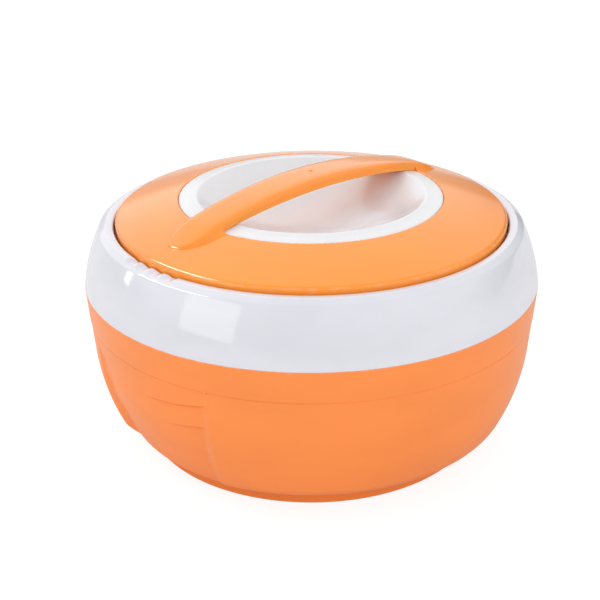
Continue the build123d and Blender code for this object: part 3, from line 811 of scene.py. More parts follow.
def bumped(tree, shader, height, distance):
    """Fine relief on a shader."""
    bump = add_node(tree, "ShaderNodeBump", Height=height, Distance=distance, Strength=1.0)
    tree.links.new(bump.outputs["Normal"], shader.inputs["Normal"])


def tinted(base, factor):
    """A colour made lighter or darker."""
    return tuple(min(1.0, c * factor) for c in base)


def moulded_plastic(
    name, base, rough, spread, peel, coat=0.0, depth=0.0, reach=(1.0, 1.0, 1.0), thin=None
):
    """Moulded plastic: slow flow marks, a fine skin, handling scuffs and worn, paler edges. The same paling
    paints a highlight where the attribute asks for one, as on the lid's gate ring.

    Light travels a little way inside it: depth is how much of it does, reach how far in each colour. Where
    an attribute tells how thin the walls are, depth follows it.
    """
    material, tree, shader, where = material_tree(name)
    flow = noise(tree, stretched(tree, where, (1, 1, 2.4)), 16, 3)
    grain = noise(tree, where, 620, 2)
    skin = noise(tree, where, 2600, 1)
    scuffs = noise(tree, stretched(tree, where, (1, 6, 3), (0.3, 0.2, 0.7)), 210, 4, 0.62).eased(0.60, 0.80)
    # Wear on every piece, and on the lid also a painted highlight at the gate's ring.
    worn = node_value(tree, "ShaderNodeAttribute", "Fac", {"attribute_name": "wear"})
    patchy = (worn * noise(tree, where, 240, 3)).eased(0.25, 0.75)
    tone = blended(tree, flow.eased(0.3, 0.7), tinted(base, 0.965), tinted(base, 1.03))
    pale = tuple(c + (1 - c) * 0.22 for c in base)
    feed(tree, shader.inputs["Base Color"], blended(tree, patchy * 0.5 + scuffs * 0.03, tone, pale))
    dull = flow.eased(0.25, 0.75) * spread + scuffs * (spread * 0.8) + patchy * 0.12
    feed(tree, shader.inputs["Roughness"], dull + (rough - spread * 0.5))
    bumped(tree, shader, grain * 0.7 + skin * 0.3 - scuffs * 0.2, peel)
    for socket, value in (
        ("Subsurface Weight", depth), ("Subsurface Radius", reach), ("Subsurface Scale", LIGHT_REACH),
        ("Coat Weight", coat), ("Coat Roughness", COAT_ROUGHNESS), ("IOR", PLASTIC_IOR),
    ):
        shader.inputs[socket].default_value = value
    if thin:
        thinness = node_value(tree, "ShaderNodeAttribute", "Fac", {"attribute_name": thin})
        feed(tree, shader.inputs["Subsurface Weight"], thinness * depth)
    return material


def turned_steel(name, base):
    """Spun steel: fine rings from the lathe, a soft polish and a few water marks."""
    material, tree, shader, where = material_tree(name)
    x, y, z = axes(tree, where)
    radius = (x * x + y * y).math("SQRT")
    rings_at = node_value(tree, "ShaderNodeCombineXYZ", "Vector", X=radius, Y=z, Z=0.0)
    rings = noise(tree, rings_at, 1700, 3, 0.7)
    broad = noise(tree, rings_at, 120, 2)
    marks = noise(tree, where, 34, 4, 0.6).eased(0.52, 0.72)
    tone = blended(tree, rings * 0.6 + broad * 0.4, tinted(base, 0.86), tinted(base, 1.06))
    feed(tree, shader.inputs["Base Color"], blended(tree, marks * 0.25, tone, tinted(base, 0.9)))
    feed(tree, shader.inputs["Roughness"], rings * 0.12 + marks * 0.08 + 0.16)
    bumped(tree, shader, rings, 0.00002)
    shader.inputs["Metallic"].default_value = 1.0
    shader.inputs["Anisotropic"].default_value = 0.35
    return material


def poured_foam(name, base):
    """Poured foam: closed cells, larger bubbles with painted shade in their pits, and a yellowed skin."""
    material, tree, shader, where = material_tree(name)
    cells = node_value(tree, "ShaderNodeTexVoronoi", "Distance", Vector=where, Scale=780.0)
    bubble_pits_and_shade = node_value(tree, "ShaderNodeTexVoronoi", "Distance", Vector=where, Scale=130.0)
    bubble_pits_and_shade = bubble_pits_and_shade.eased(0.05, 0.32)
    cloud = noise(tree, where, 30, 4, 0.6)
    tone = blended(tree, cloud.eased(0.3, 0.7), tinted(base, 0.86), tinted(base, 1.06))
    # Painted shade: the bubbles' pits are darkened in colour as well as sunk by the bump.
    feed(tree, shader.inputs["Base Color"], blended(tree, bubble_pits_and_shade, tinted(base, 0.7), tone))
    feed(tree, shader.inputs["Roughness"], cells * 0.15 + cloud * 0.15 + 0.7)
    bumped(tree, shader, cells * 0.4 + bubble_pits_and_shade, 0.0006)
    return material


def soft_rubber(name, base):
    """Soft moulded rubber: matt, with a bloom and fine grain."""
    material, tree, shader, where = material_tree(name)
    bloom = noise(tree, where, 60, 4, 0.6)
    grain = noise(tree, where, 1500, 2)
    tone = blended(tree, bloom.eased(0.35, 0.7), tinted(base, 0.92), tinted(base, 1.05))
    feed(tree, shader.inputs["Base Color"], tone)
    feed(tree, shader.inputs["Roughness"], bloom * 0.2 + grain * 0.1 + 0.45)
    bumped(tree, shader, grain, 0.00006)
    return material


class BOWL_OT_outer_shell(bpy.types.Operator):
    """Make the orange shell with its standing ring, its band and two stepped finger grips"""

    bl_idname = "bowl.outer_shell"
    bl_label = "Outer shell"

    def execute(self, context):
        sizes = context.scene.bowl_shell
        material = moulded_plastic(
            "satin_orange_plastic", context.scene.bowl_finishes.shell, rough=0.36, spread=0.10, peel=0.00003
        )
        profile, grip_depth = shell_profile(sizes)
        grip = {
            "Grip angle": sizes.grip_angle, "Grip ramp": sizes.grip_ramp,
            "Grip depth": grip_depth, "Grip arc": sizes.grip_arc,
        }
        piece = turned_piece("shell_moulding", profile, material, sizes.columns, GRIP_CROWDING, grip)
        self.add_pip(piece.data, sizes)
        settle(piece, "body", "outer_shell")
        return {"FINISHED"}

    def add_pip(self, mesh, sizes):
        """Adds the round pip that the mould leaves on the band's foot, sunk into the wall."""
        radius, height = band_edge(sizes, body_skin(sizes, 0))
        spot = aim(sizes.pip_turn, 0) * (radius - sizes.pip_sink) + Vector((0, 0, height))
        work = bmesh.new()
        work.from_mesh(mesh)
        made = bmesh.ops.create_icosphere(
            work, subdivisions=3, radius=sizes.pip_radius, matrix=Matrix.Translation(spot)
        )
        for face in {face for vertex in made["verts"] for face in vertex.link_faces}:
            face.smooth = True
        work.to_mesh(mesh)
        work.free()


def collar_profile(shell, sizes):
    """Closed profile of the collar, and how worn each of its points is."""
    foot_in, foot_out, foot_rise, foot_round = 0.0003, 0.0001, 0.0004, 0.0003
    overhang_run, overhang_round = 0.004, 0.001
    ledge_root, ledge_round, spigot_round = 0.0006, 0.0005, 0.0004
    outside_rows, inside_rows = np.linspace(0, 1, 33), np.linspace(0.9, 0.1, 12)
    crest_wear, foot_wear = 0.002, 0.001
    outer = sizes.lip_height - sizes.outer_drop
    lip = shell.seam_radius - sizes.lip_inset
    mouth = lip - sizes.lip_width
    ledge = sizes.lip_height - sizes.ledge_depth
    foot = np.array([shell.seam_radius, shell.seam_height])
    chord = np.array([lip, outer]) - foot
    normal = np.array([chord[1], -chord[0]]) / hypot(*chord)

    def wall_point(part, inset):
        return foot + chord * part + normal * (sizes.bulge * 4 * part * (1 - part) - inset)

    outside = [(*wall_point(part, 0), 0) for part in outside_rows]
    inside = [(*wall_point(part, sizes.wall), 0) for part in inside_rows]
    outside[-1] = (*outside[-1][:2], sizes.lip_round)
    back = mouth + sizes.wall
    inner_wall = shell.wall / cos(shell.wall_lean)
    spigot = shell.seam_radius - shell.band_step - inner_wall - sizes.fit_gap
    spigot_foot = spigot - sizes.spigot_depth * tan(shell.wall_lean)
    corners = [
        (spigot, shell.seam_height, 0),
        (foot[0] - foot_in, shell.seam_height, 0),
        (foot[0] - foot_out, foot[1] + foot_rise, foot_round),
        *outside[1:],
        ((lip + mouth) / 2, sizes.lip_height, sizes.lip_round),
        (mouth - sizes.lip_overhang, sizes.lip_height - sizes.inner_drop, sizes.lip_round),
        (mouth - sizes.lip_overhang, sizes.lip_height - overhang_run, overhang_round),
        (mouth, ledge + overhang_run, overhang_round),
        (mouth, ledge, ledge_root),
        (mouth - sizes.ledge_width, ledge, ledge_round),
        (mouth - sizes.ledge_width, ledge - sizes.ledge_thickness, ledge_round),
        (back, ledge - sizes.ledge_thickness, ledge_round),
        (back, outer - sizes.wall, 0),
        *inside,
        (spigot - sizes.spigot_wall, shell.seam_height, 0),
        (spigot_foot - sizes.spigot_wall, shell.seam_height - sizes.spigot_depth, spigot_round),
        (spigot_foot, shell.seam_height - sizes.spigot_depth, spigot_round),
        (spigot, shell.seam_height, 0),
    ]
    points = rounded_line(corners, spacing=0.0015)
    crest = np.array([(lip + mouth) / 2, sizes.lip_height])
    worn = np.exp(-np.hypot(*(points - crest).T) / crest_wear)
    return points, worn + np.exp(-np.hypot(*(points - foot).T) / foot_wear)


class BOWL_OT_collar(bpy.types.Operator):
    """Make the white collar with its scalloped lip, its ledge and its spigot"""

    bl_idname = "bowl.collar"
    bl_label = "Collar"

    def execute(self, context):
        sizes = context.scene.bowl_collar
        material = moulded_plastic(
            "gloss_white_plastic", context.scene.bowl_finishes.white, rough=0.08, spread=0.03, peel=0.000008,
            coat=0.3,
        )
        points, worn = collar_profile(context.scene.bowl_shell, sizes)
        middle = sizes.lip_height - sizes.inner_drop - sizes.scallop_depth + sizes.scallop_radius
        scallops = {
            "Pitch": sizes.scallop_pitch, "Radius": sizes.scallop_radius,
            "Middle": middle, "Material": material,
        }
        piece = turned_piece(
            "collar_moulding", profile_object(points, wear=worn), material, sizes.columns, GRIP_CROWDING,
            extra=(scallop_tree(), scallops),
        )
        settle(piece, "body", "collar")
        return {"FINISHED"}


class CoverShape:
    """The lid cover's surfaces as heights over the plan, in the lid's own turn."""

    def __init__(self, sizes):
        self.sizes = sizes
        self.centre = sizes.edge_height - sqrt(sizes.dome_radius**2 - sizes.radius**2)
        self.edge_slope = asin(sizes.radius / sizes.dome_radius)
        self.inside = sizes.radius - sizes.wall
        self.window = sizes.radius - sizes.ring_width
        self.half_length = sizes.radius - sizes.handle_end_inset
        # Plan of the handle: two long side arcs, and a stretched round tip at each end.
        self.nose = sizes.nose_width / 2
        self.shoulder = self.half_length - sizes.nose_length
        swell = (sizes.handle_width - sizes.nose_width) / 2
        self.side_radius = (self.shoulder**2 + swell**2) / (2 * swell)
        self.side_centre = self.side_radius - sizes.handle_width / 2
        self.side_turn = asin(self.shoulder / self.side_radius)
        self.tip_centre = self.shoulder - self.nose * tan(self.side_turn)
        self.tip_radius = self.nose / cos(self.side_turn)
        self.stretch = (self.half_length - self.tip_centre) / self.tip_radius
        # Arcs of the handle's crown and of its underside.
        drop = sizes.handle_top - self.dome(self.half_length) - sizes.nose_height
        self.arch = (self.half_length**2 + drop**2) / (2 * drop)
        spring = self.dome(self.window, sizes.dish_band_drop) + sizes.fit_gap / 2
        self.under_top = sizes.handle_top - sizes.handle_thickness
        under_drop = self.under_top - spring
        self.under_arch = (self.window**2 + under_drop**2) / (2 * under_drop)

    def dome(self, radius, drop=0.0):
        """Height of the dome, or of a dome inside it."""
        return self.centre + np.sqrt((self.sizes.dome_radius - drop) ** 2 - np.square(radius))

    def outline(self, offset, side_steps, nose_steps):
        """Closed line at a distance from the handle's outline, counted outwards."""
        radius = self.tip_radius + offset
        start = pi / 2 - self.side_turn
        tip = np.linspace(-start, start, nose_steps, endpoint=False)
        side = np.linspace(self.side_turn, -self.side_turn, side_steps, endpoint=False)
        along = self.tip_centre + self.stretch * radius * np.cos(tip)
        right = np.stack([along, radius * np.sin(tip)], axis=1)
        reach = self.side_radius + offset
        top = np.stack([reach * np.sin(side), reach * np.cos(side) - self.side_centre], axis=1)
        half = np.concatenate([right, top])
        return np.concatenate([half, -half])

    def offset(self, x, y):
        """Signed distance from the handle's outline, below 0 inside it."""
        x, y = np.abs(x), np.abs(y)
        by_side = np.hypot(x, y + self.side_centre) - self.side_radius
        beyond = (x - self.tip_centre) / self.stretch
        by_tip = np.hypot(beyond, y) - self.tip_radius
        return np.where(beyond > tan(self.side_turn) * y, by_tip, by_side)

    def ends(self, x):
        """0 along the handle, rising to 1 at its two ends."""
        return eased(np.abs(x), self.half_length - END_STARTS, self.half_length - END_FULL)

    def crown(self, x, offset, free):
        """Height of the handle's top: an oval across, with a straight foot unless it hangs free."""
        s = self.sizes
        free_slope = 12
        ends = self.ends(x)
        half = s.handle_width / 2
        fall = s.handle_fall + (s.nose_fall - s.handle_fall) * ends
        slope = s.root_slope + (s.nose_slope - s.root_slope) * ends
        slope = slope + (free_slope - slope) * free
        across = np.maximum(1 + offset / half, 0)
        ratio = (slope * half / fall) ** (s.oval / (s.oval - 1))
        turn_over = (ratio / (1 + ratio)) ** (1 / s.oval)
        oval = fall * (1 - (1 - np.minimum(across, turn_over) ** s.oval) ** (1 / s.oval))
        foot = slope * half * np.maximum(across - turn_over, 0)
        arch = s.handle_top - self.arch + np.sqrt(self.arch**2 - np.square(x))
        return arch - s.nose_drop * ends - oval - foot

    def top(self, x, y):
        """Height of the cover's upper surface."""
        s = self.sizes
        radius = np.hypot(x, y)
        offset = self.offset(x, y)
        dome = self.dome(radius)
        free = eased(self.window - radius, 0, FREE_REACH)
        crown = self.crown(x, offset, free)
        blend = s.root_blend + (s.nose_blend - s.root_blend) * self.ends(x)
        overlap = np.maximum(blend - np.abs(crown - dome), 0)
        joined = np.maximum(crown, dome) + np.square(overlap) / (4 * blend)
        height = joined * (1 - free) + crown * free
        edge = np.clip(s.window_round - (radius - self.window), 0, s.window_round)
        softened = s.window_round - np.sqrt(s.window_round**2 - np.square(edge))
        height = height - softened * eased(offset, 0.0005, 0.004)
        return height + self.gate(radius)

    def gate(self, radius):
        """Height of the mark that the moulding gate leaves: a raised ring round a small pit."""
        s = self.sizes
        ring = eased(np.abs(radius - s.gate_radius), s.gate_radius * 0.45, 0)
        pit = eased(radius, s.gate_radius * 0.6, s.gate_radius * 0.2)
        return s.gate_height * ring - s.gate_depth * pit

    def under(self, x, y):
        """Height of the cover's lower surface, with the channel inside the handle."""
        s = self.sizes
        radius = np.hypot(x, y)
        offset = self.offset(x, y)
        ring = self.dome(radius, s.wall)
        lip = self.under_top - self.under_arch + np.sqrt(self.under_arch**2 - np.square(x))
        over = np.clip((self.window - radius) / WALL_RUN, 0, 1)
        band = self.dome(radius, s.dish_band_drop) + s.fit_gap / 2
        lift = eased(self.window - radius, s.dish_band * 0.55, s.dish_band * 1.1)
        lip = np.minimum(lip, band) * (1 - lift) + lip * lift
        sole = ring * (1 - over) + lip * over
        ceiling = self.crown(x, offset, 1.0) - s.handle_wall
        hollow = np.clip((-s.handle_wall + WALL_RUN / 2 - offset) / WALL_RUN, 0, 1)
        hollow = hollow * eased(self.window - radius, CHANNEL_STARTS, CHANNEL_FULL)
        return sole * (1 - hollow) + np.maximum(ceiling, sole) * hollow


def cover_plan(shape):
    """Points of the plan, its triangles and the loops that bound it."""
    s = shape.sizes
    edge_room, root_room, gate_room, row_gap, ring_rows, gate_columns = 0.0004, 0.0006, 0.006, 0.0018, 17, 24
    edge_reach = s.edge_round * tan((pi / 2 - shape.edge_slope) / 2)
    rim = s.radius - edge_reach * cos(shape.edge_slope)
    corner, rounds = 0.05, 40
    for _ in range(rounds):  # closes in on where the handle's side crosses the window's edge
        corner -= float(shape.offset(shape.window * cos(corner), shape.window * sin(corner))) / shape.window
    points, links, loops = [], [], {}

    def keep(rows):
        first = len(points)
        points.extend(map(tuple, rows))
        return list(range(first, len(points)))

    def bind(loop):
        links.extend(zip(loop, loop[1:] + loop[:1]))

    # Loops that bound the ring and its two windows.
    turns = np.arange(s.columns) * 2 * pi / s.columns
    around = np.stack([np.cos(turns), np.sin(turns)], axis=1)
    for name, radius in (("rim", rim), ("inside", shape.inside)):
        loops[name] = keep(around * radius)
        bind(loops[name])
    steps = HANDLE_SIDE_STEPS, HANDLE_NOSE_STEPS
    outline = shape.outline(0.0, *steps)
    beyond = np.hypot(*outline.T) - shape.window
    over_window = beyond < -edge_room
    bend = (1 - np.cos(np.linspace(0, pi, 141))) / 2
    arc = corner + (pi - 2 * corner) * bend
    upper_arc = np.stack([np.cos(arc), np.sin(arc)], axis=1) * shape.window
    upper_side = outline[over_window & (outline[:, 1] > 0)]
    upper_side = upper_side[np.argsort(upper_side[:, 0])]
    for name, flip in (("left_window", 1), ("right_window", -1)):
        loops[name] = keep(np.concatenate([upper_arc, upper_side]) * flip)
        bind(loops[name])
    # Rows on the handle, round the gate, round the handle's roots and on the ring.
    keep(outline[beyond > edge_room])
    for offset in HANDLE_ROWS:
        keep(shape.outline(offset, *steps))
    axis = np.arange(gate_room, shape.tip_centre, row_gap)
    keep(np.stack([np.concatenate([axis, -axis]), np.zeros(2 * len(axis))], axis=1))
    for radius in GATE_ROWS * s.gate_radius:
        keep(around[:: s.columns // gate_columns] * radius if radius else [(0.0, 0.0)])
    for offset in ROOT_ROWS:
        row = shape.outline(offset, *steps)
        keep(row[np.hypot(*row.T) > shape.window + root_room])
    rings = np.linspace(shape.window + row_gap, shape.inside, ring_rows)[:-1]
    for radius in (*(shape.window + WINDOW_ROWS), *rings):
        row = around * radius
        keep(row[shape.offset(*row.T) > ROOT_REACH])
    # Triangles between all these points, without those over the windows.
    vectors = [Vector(p) for p in points]
    flat, _, faces, origin, _, _ = delaunay_2d_cdt(vectors, links, [], 0, 1e-8)
    number_now = {old: new for new, olds in enumerate(origin) for old in olds}
    flat = np.array([tuple(p) for p in flat])
    middle = flat[np.array(faces)].mean(axis=1)
    open_here = (np.hypot(*middle.T) < shape.window) & (shape.offset(*middle.T) > 0)
    faces = [face for face, gap in zip(faces, open_here) if not gap]
    loops = {name: [number_now[i] for i in loop] for name, loop in loops.items()}
    return flat, faces, loops


def skirt_rings(shape, rim_height):
    """Radius and height of each ring below the dome: the rounded edge, the skirt and its lower edge."""
    s = shape.sizes
    arc_steps, upper_ring, outer_bevel, inner_bevel = 8, 0.006, 0.0004, 0.0003
    middle = s.radius - s.edge_round
    level = rim_height - s.edge_round * cos(shape.edge_slope)
    turns = np.linspace(pi / 2 - shape.edge_slope, 0, arc_steps)[1:]
    return [
        *((middle + s.edge_round * cos(t), level + s.edge_round * sin(t)) for t in turns),
        (s.radius, s.base + upper_ring),
        (s.radius, s.base + outer_bevel),
        (s.radius - outer_bevel, s.base),
        (shape.inside + inner_bevel, s.base),
        (shape.inside, s.base + inner_bevel),
    ]


def cover_values(shape, places):
    """How worn the cover is at each point, with a painted highlight on the gate's raised ring, and how thin
    its walls are there.
    """
    s = shape.sizes
    crest_line, crest_wear, crest_share = s.handle_fall * 0.4, 0.0012, 0.7
    rim_line, rim_wear = 0.0004, 0.0008
    gate_highlight_reach, gate_highlight_share = s.gate_radius * 0.5, 3
    thin_starts, thin_full = -0.002, 0.012
    x, y, z = places.T
    radius = np.hypot(x, y)
    crest = np.exp(-np.abs(shape.offset(x, y) + crest_line) / crest_wear) * (z > s.edge_height)
    rim = np.exp(-np.abs(radius - s.radius + rim_line) / rim_wear)
    # The gate's ring is painted paler: a painted highlight on the ring, not wear.
    gate = eased(np.abs(radius - s.gate_radius), gate_highlight_reach, 0) * (z > shape.under_top)
    worn = np.clip(crest * crest_share + rim, 0, 1) + gate_highlight_share * gate
    return {"wear": worn, "thin": eased(shape.window - radius, thin_starts, thin_full)}


def cover_mesh(sizes):
    """The lid cover as one closed mesh: ring, handle, skirt and their undersides."""
    shape = CoverShape(sizes)
    flat, faces, loops = cover_plan(shape)
    top = np.column_stack([flat, shape.top(*flat.T)])
    under = np.column_stack([flat, shape.under(*flat.T)])
    count = len(flat)
    vertices = [*map(tuple, top), *map(tuple, under)]
    polygons = [tuple(face) for face in faces]
    radii = np.hypot(*flat.T)
    for face in faces:
        if max(radii[i] for i in face) < shape.inside + 1e-6:
            polygons.append(tuple(i + count for i in reversed(face)))
    for name in ("left_window", "right_window"):
        loop = loops[name]
        polygons.extend(ring_faces(loop, [i + count for i in loop]))
    before = loops["rim"]
    turns = np.arange(sizes.columns) * 2 * pi / sizes.columns
    for radius, height in skirt_rings(shape, vertices[before[0]][2]):
        here = list(range(len(vertices), len(vertices) + sizes.columns))
        vertices.extend((radius * cos(t), radius * sin(t), height) for t in turns)
        polygons.extend(ring_faces(before, here))
        before = here
    polygons.extend(ring_faces(before, [i + count for i in loops["inside"]]))
    used = sorted({i for polygon in polygons for i in polygon})
    renumber = {old: new for new, old in enumerate(used)}
    turn = Quaternion((0, 0, 1), sizes.turn).to_matrix()
    mesh = bpy.data.meshes.new("cover")
    mesh.from_pydata(
        [turn @ Vector(vertices[i]) for i in used], [], [[renumber[i] for i in p] for p in polygons]
    )
    store(mesh, cover_values(shape, np.array([vertices[i] for i in used])))
    return mesh


def ring_faces(first, second):
    """Faces between two rings of the same count."""
    return [
        (a, b, d, c)
        for a, b, c, d in zip(first, first[1:] + first[:1], second, second[1:] + second[:1])
    ]


class BOWL_OT_lid_cover(bpy.types.Operator):
    """Make the orange lid cover: skirt, domed ring and arched handle in one moulding"""

    bl_idname = "bowl.lid_cover"
    bl_label = "Lid cover"

    def execute(self, context):
        material = moulded_plastic(
            "gloss_orange_plastic", context.scene.bowl_finishes.lid, rough=0.12, spread=0.05, peel=0.000010,
            coat=0.2, depth=0.5, reach=(1.5, 0.45, 0.15), thin="thin",
        )
        piece = piece_from_mesh("cover_moulding", cover_mesh(context.scene.bowl_lid), material, crease=50)
        settle(piece, "lid", "lid_cover")
        return {"FINISHED"}


def dish_profile(sizes):
    """Profile of the dish, from the axis over its top and back to the axis, and how worn each point is."""
    top_rows, band_rows, under_rows = np.linspace(0, 0.94, 40), 8, np.linspace(1, 0, 24)
    band_round, flange_round = 0.0005, 0.0004
    crease_wear, wear_share = 0.002, 0.6
    shape = CoverShape(sizes)
    edge = shape.window - sizes.fit_gap
    crease = shape.window - sizes.dish_band
    crease_height = float(shape.dome(crease, sizes.dish_band_drop))
    floor = crease_height - sizes.dish_depth
    curve = (crease**2 + sizes.dish_depth**2) / (2 * sizes.dish_depth)
    swing = asin(crease / curve)

    def hollow(part, outward):
        radius = curve + outward
        return radius * sin(swing * part), floor + curve - radius * cos(swing * part)

    def level(radius, down):
        return radius, float(shape.dome(radius, down))

    flange = shape.window + sizes.dish_flange
    drop = sizes.wall + sizes.fit_gap
    step = edge - sizes.dish_wall
    band = np.linspace(crease, edge, band_rows)[2:-1]
    corners = [
        *((*hollow(part, 0), 0) for part in top_rows),
        (*hollow(1, 0), sizes.dish_crease),
        *((*level(radius, sizes.dish_band_drop), 0) for radius in band),
        (*level(edge, sizes.dish_band_drop), band_round),
        (*level(edge, drop), 0),
        (*level(flange, drop), flange_round),
        (*level(flange, drop + sizes.dish_wall), flange_round),
        (*level(step, drop + sizes.dish_wall), 0),
        *((*hollow(part, sizes.dish_wall), 0) for part in under_rows),
    ]
    points = rounded_line(corners, spacing=0.003, turn=radians(6))
    points[:, 0] = np.maximum(points[:, 0], 0)
    return points, np.exp(-np.hypot(*(points - np.array(hollow(1, 0))).T) / crease_wear) * wear_share


class BOWL_OT_lid_dish(bpy.types.Operator):
    """Make the white dish in the lid's window, with the hollow under the handle"""

    bl_idname = "bowl.lid_dish"
    bl_label = "Lid dish"

    def execute(self, context):
        material = moulded_plastic(
            "dish_white_plastic", context.scene.bowl_finishes.dish, rough=0.2, spread=0.07, peel=0.000012,
            coat=0.2, depth=0.6, reach=(1.5, 1.4, 1.3),
        )
        points, worn = dish_profile(context.scene.bowl_lid)
        piece = turned_piece("dish_moulding", profile_object(points, wear=worn), material, DISH_COLUMNS)
        settle(piece, "lid", "lid_dish")
        return {"FINISHED"}


class BOWL_OT_inside_pieces(bpy.types.Operator):
    """Give the pieces inside the bowl and the lid their finishes"""

    bl_idname = "bowl.inside_pieces"
    bl_label = "Inside pieces"

    def execute(self, context):
        colours = context.scene.bowl_finishes
        liner = moulded_plastic("liner_white_plastic", colours.liner, rough=0.3, spread=0.1, peel=0.00002)
        foam = poured_foam("poured_foam", colours.foam)
        finishes = {
            "inner_bowl": turned_steel("spun_steel", colours.steel),
            "base_plug": liner,
            "lid_liner": liner,
            "body_insulation": foam,
            "lid_insulation": foam,
            "lid_seal": soft_rubber("soft_rubber", colours.rubber),
        }
        for node, material in finishes.items():
            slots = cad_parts[node].material_slots
            if not slots:
                raise RuntimeError(f"{node} has no material slot")
            for slot in slots:
                slot.material = material
        return {"FINISHED"}


def aim(turn, climb):
    """Direction at a turn round the Z axis and a climb above the table."""
    return Vector((cos(climb) * cos(turn), cos(climb) * sin(turn), sin(climb)))


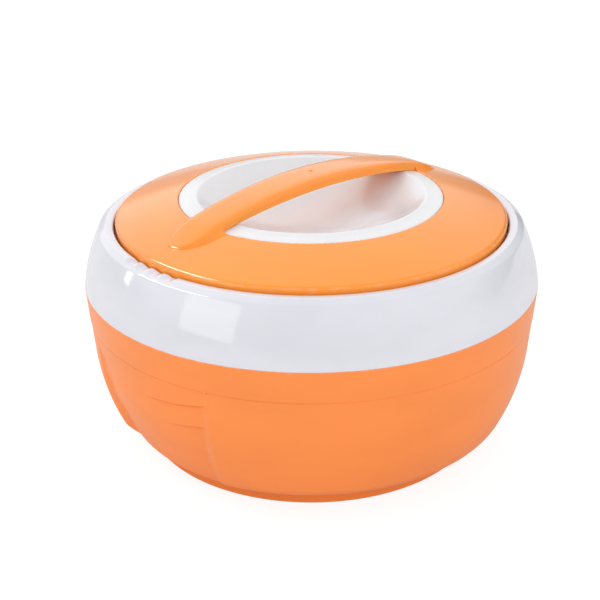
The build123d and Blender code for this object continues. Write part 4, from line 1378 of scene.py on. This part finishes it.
class BOWL_OT_stage(bpy.types.Operator):
    """Make the pale floor, the soft studio light and the camera"""

    bl_idname = "bowl.stage"
    bl_label = "Stage"

    def execute(self, context):
        settings = context.scene.bowl_stage
        self.make_floor(context, settings)
        self.make_sky(context, settings)
        for name, setting, turn, climb, *size in SOFTBOXES:
            way = aim(radians(turn), radians(climb))
            box = self.make_softbox(context, name, getattr(settings, setting), way, size)
            box.visible_diffuse = name != "glint_strip"
            box.visible_glossy = name != "fill_softbox"
        self.make_camera(context, settings)
        context.scene.view_settings.view_transform = "Standard"
        context.scene.view_settings.look = "None"
        return {"FINISHED"}

    def make_floor(self, context, settings):
        """Light table: the camera sees its white top, and the bowl is lit by the grey sheet just under it.

        Each of the two has a name, a share of the floor's colour, a glow and a height.
        """
        for name, tone, glow, level in (
            ("floor", 0.25, settings.glow, 0.0),
            ("floor_sheet", 0.85, 0.0, -0.0005),
        ):
            material, tree, shader, where = material_tree("pale_" + name)
            cloud = noise(tree, where, 3, 3)
            base = tinted(context.scene.bowl_finishes.floor, tone)
            feed(tree, shader.inputs["Base Color"], blended(tree, cloud, tinted(base, 0.985), base))
            feed(tree, shader.inputs["Roughness"], cloud * 0.1 + 0.75)
            shader.inputs["Specular IOR Level"].default_value = 0.2
            shader.inputs["Emission Color"].default_value = (1, 1, 1, 1)
            shader.inputs["Emission Strength"].default_value = glow
            mesh = bpy.data.meshes.new(name)
            work = bmesh.new()
            bmesh.ops.create_circle(work, cap_ends=True, radius=FLOOR_RADIUS, segments=64)
            bmesh.ops.translate(work, verts=work.verts, vec=(0, 0, level))
            work.to_mesh(mesh)
            work.free()
            mesh.materials.append(material)
            floor = bpy.data.objects.new(name, mesh)
            context.scene.collection.objects.link(floor)
            seen = glow > 0
            floor.visible_camera = seen
            floor.visible_diffuse = floor.visible_glossy = floor.visible_shadow = not seen

    def make_sky(self, context, settings):
        """Studio round the bowl: an even sky over a darker horizon, and walls that add or take light."""
        world = bpy.data.worlds.new("studio")
        context.scene.world = world
        world.use_nodes = True
        tree = world.node_tree
        way = add_node(tree, "ShaderNodeTexCoord").outputs["Generated"]
        above = axes(tree, way)[2].eased(*HORIZON_FADE)

        def towards(turn, climb, far, near):
            """1 within the near angle of a direction, and 0 beyond the far one."""
            node = add_node(tree, "ShaderNodeVectorMath", {"operation": "DOT_PRODUCT"})
            feed(tree, node.inputs[0], way)
            node.inputs[1].default_value = aim(radians(turn), radians(climb))
            return Term(tree, node.outputs["Value"]).eased(cos(radians(far)), cos(radians(near)))

        strength = above * (settings.sky - settings.horizon) + settings.horizon
        for setting, sign, *patch, stops in WALLS:
            wall = towards(*patch) * above if stops else towards(*patch)
            strength = strength + wall * (sign * getattr(settings, setting))
        back = tree.nodes["Background"]
        back.inputs["Color"].default_value = (1, 1, 1, 1)
        feed(tree, back.inputs["Strength"], strength.math("MAXIMUM", DARKEST_SKY))

    def make_softbox(self, context, name, strength, way, size):
        """Softbox in a direction seen from the bowl, facing it."""
        lamp = bpy.data.lights.new(name, "AREA")
        lamp.shape = "RECTANGLE"
        lamp.size, lamp.size_y = size
        lamp.energy = strength * size[0] * size[1] * pi
        box = bpy.data.objects.new(name, lamp)
        context.scene.collection.objects.link(box)
        box.location = SOFTBOX_AIM + way * SOFTBOX_DISTANCE
        box.rotation_mode = "QUATERNION"
        box.rotation_quaternion = (SOFTBOX_AIM - box.location).to_track_quat("-Z", "Y")
        return box

    def make_camera(self, context, settings):
        """Camera at the photograph's viewing angle."""
        camera = bpy.data.cameras.new("camera")
        camera.lens = settings.lens
        camera.sensor_width = 36.0
        camera.clip_start = 0.01
        camera.clip_end = 50.0
        obj = bpy.data.objects.new("camera", camera)
        context.scene.collection.objects.link(obj)
        way = Vector(settings.target) - Vector(settings.camera)
        obj.rotation_mode = "QUATERNION"
        obj.location = settings.camera
        obj.rotation_quaternion = way.to_track_quat("-Z", "Y") @ Quaternion((0, 0, 1), settings.roll)
        context.scene.camera = obj


class BOWL_PT_sidebar(bpy.types.Panel):
    """List of the bowl's pieces in the sidebar"""

    bl_idname = "BOWL_PT_sidebar"
    bl_label = "Serving bowl"
    bl_space_type = "VIEW_3D"
    bl_region_type = "UI"
    bl_category = "Serving bowl"

    def draw(self, context):
        for operator in OPERATORS:
            self.layout.operator(operator.bl_idname)
        for name in SETTINGS:
            group = getattr(context.scene, name)
            box = self.layout.box()
            for key in group.__annotations__:
                box.prop(group, key)


OPERATORS = (
    BOWL_OT_stage,
    BOWL_OT_outer_shell,
    BOWL_OT_collar,
    BOWL_OT_lid_cover,
    BOWL_OT_lid_dish,
    BOWL_OT_inside_pieces,
)
SETTINGS = {
    "bowl_shell": ShellSizes,
    "bowl_collar": CollarSizes,
    "bowl_lid": LidSizes,
    "bowl_finishes": Finishes,
    "bowl_stage": StageSettings,
}


def register():
    """Registers the settings, the operators and the panel."""
    for group in SETTINGS.values():
        bpy.utils.register_class(group)
    for name, group in SETTINGS.items():
        setattr(bpy.types.Scene, name, bpy.props.PointerProperty(type=group))
    for item in (*OPERATORS, BOWL_PT_sidebar):
        bpy.utils.register_class(item)


def unregister():
    """Undoes what register does."""
    for item in reversed((*OPERATORS, BOWL_PT_sidebar)):
        bpy.utils.unregister_class(item)
    for name in SETTINGS:
        delattr(bpy.types.Scene, name)
    for group in reversed(tuple(SETTINGS.values())):
        bpy.utils.unregister_class(group)


def main():
    """Makes the stage and every piece in order."""
    register()
    bpy.ops.bowl.stage()
    bpy.ops.bowl.outer_shell()
    bpy.ops.bowl.collar()
    bpy.ops.bowl.lid_cover()
    bpy.ops.bowl.lid_dish()
    bpy.ops.bowl.inside_pieces()
    bpy.context.view_layer.update()


if __name__ == "__main__":
    main()
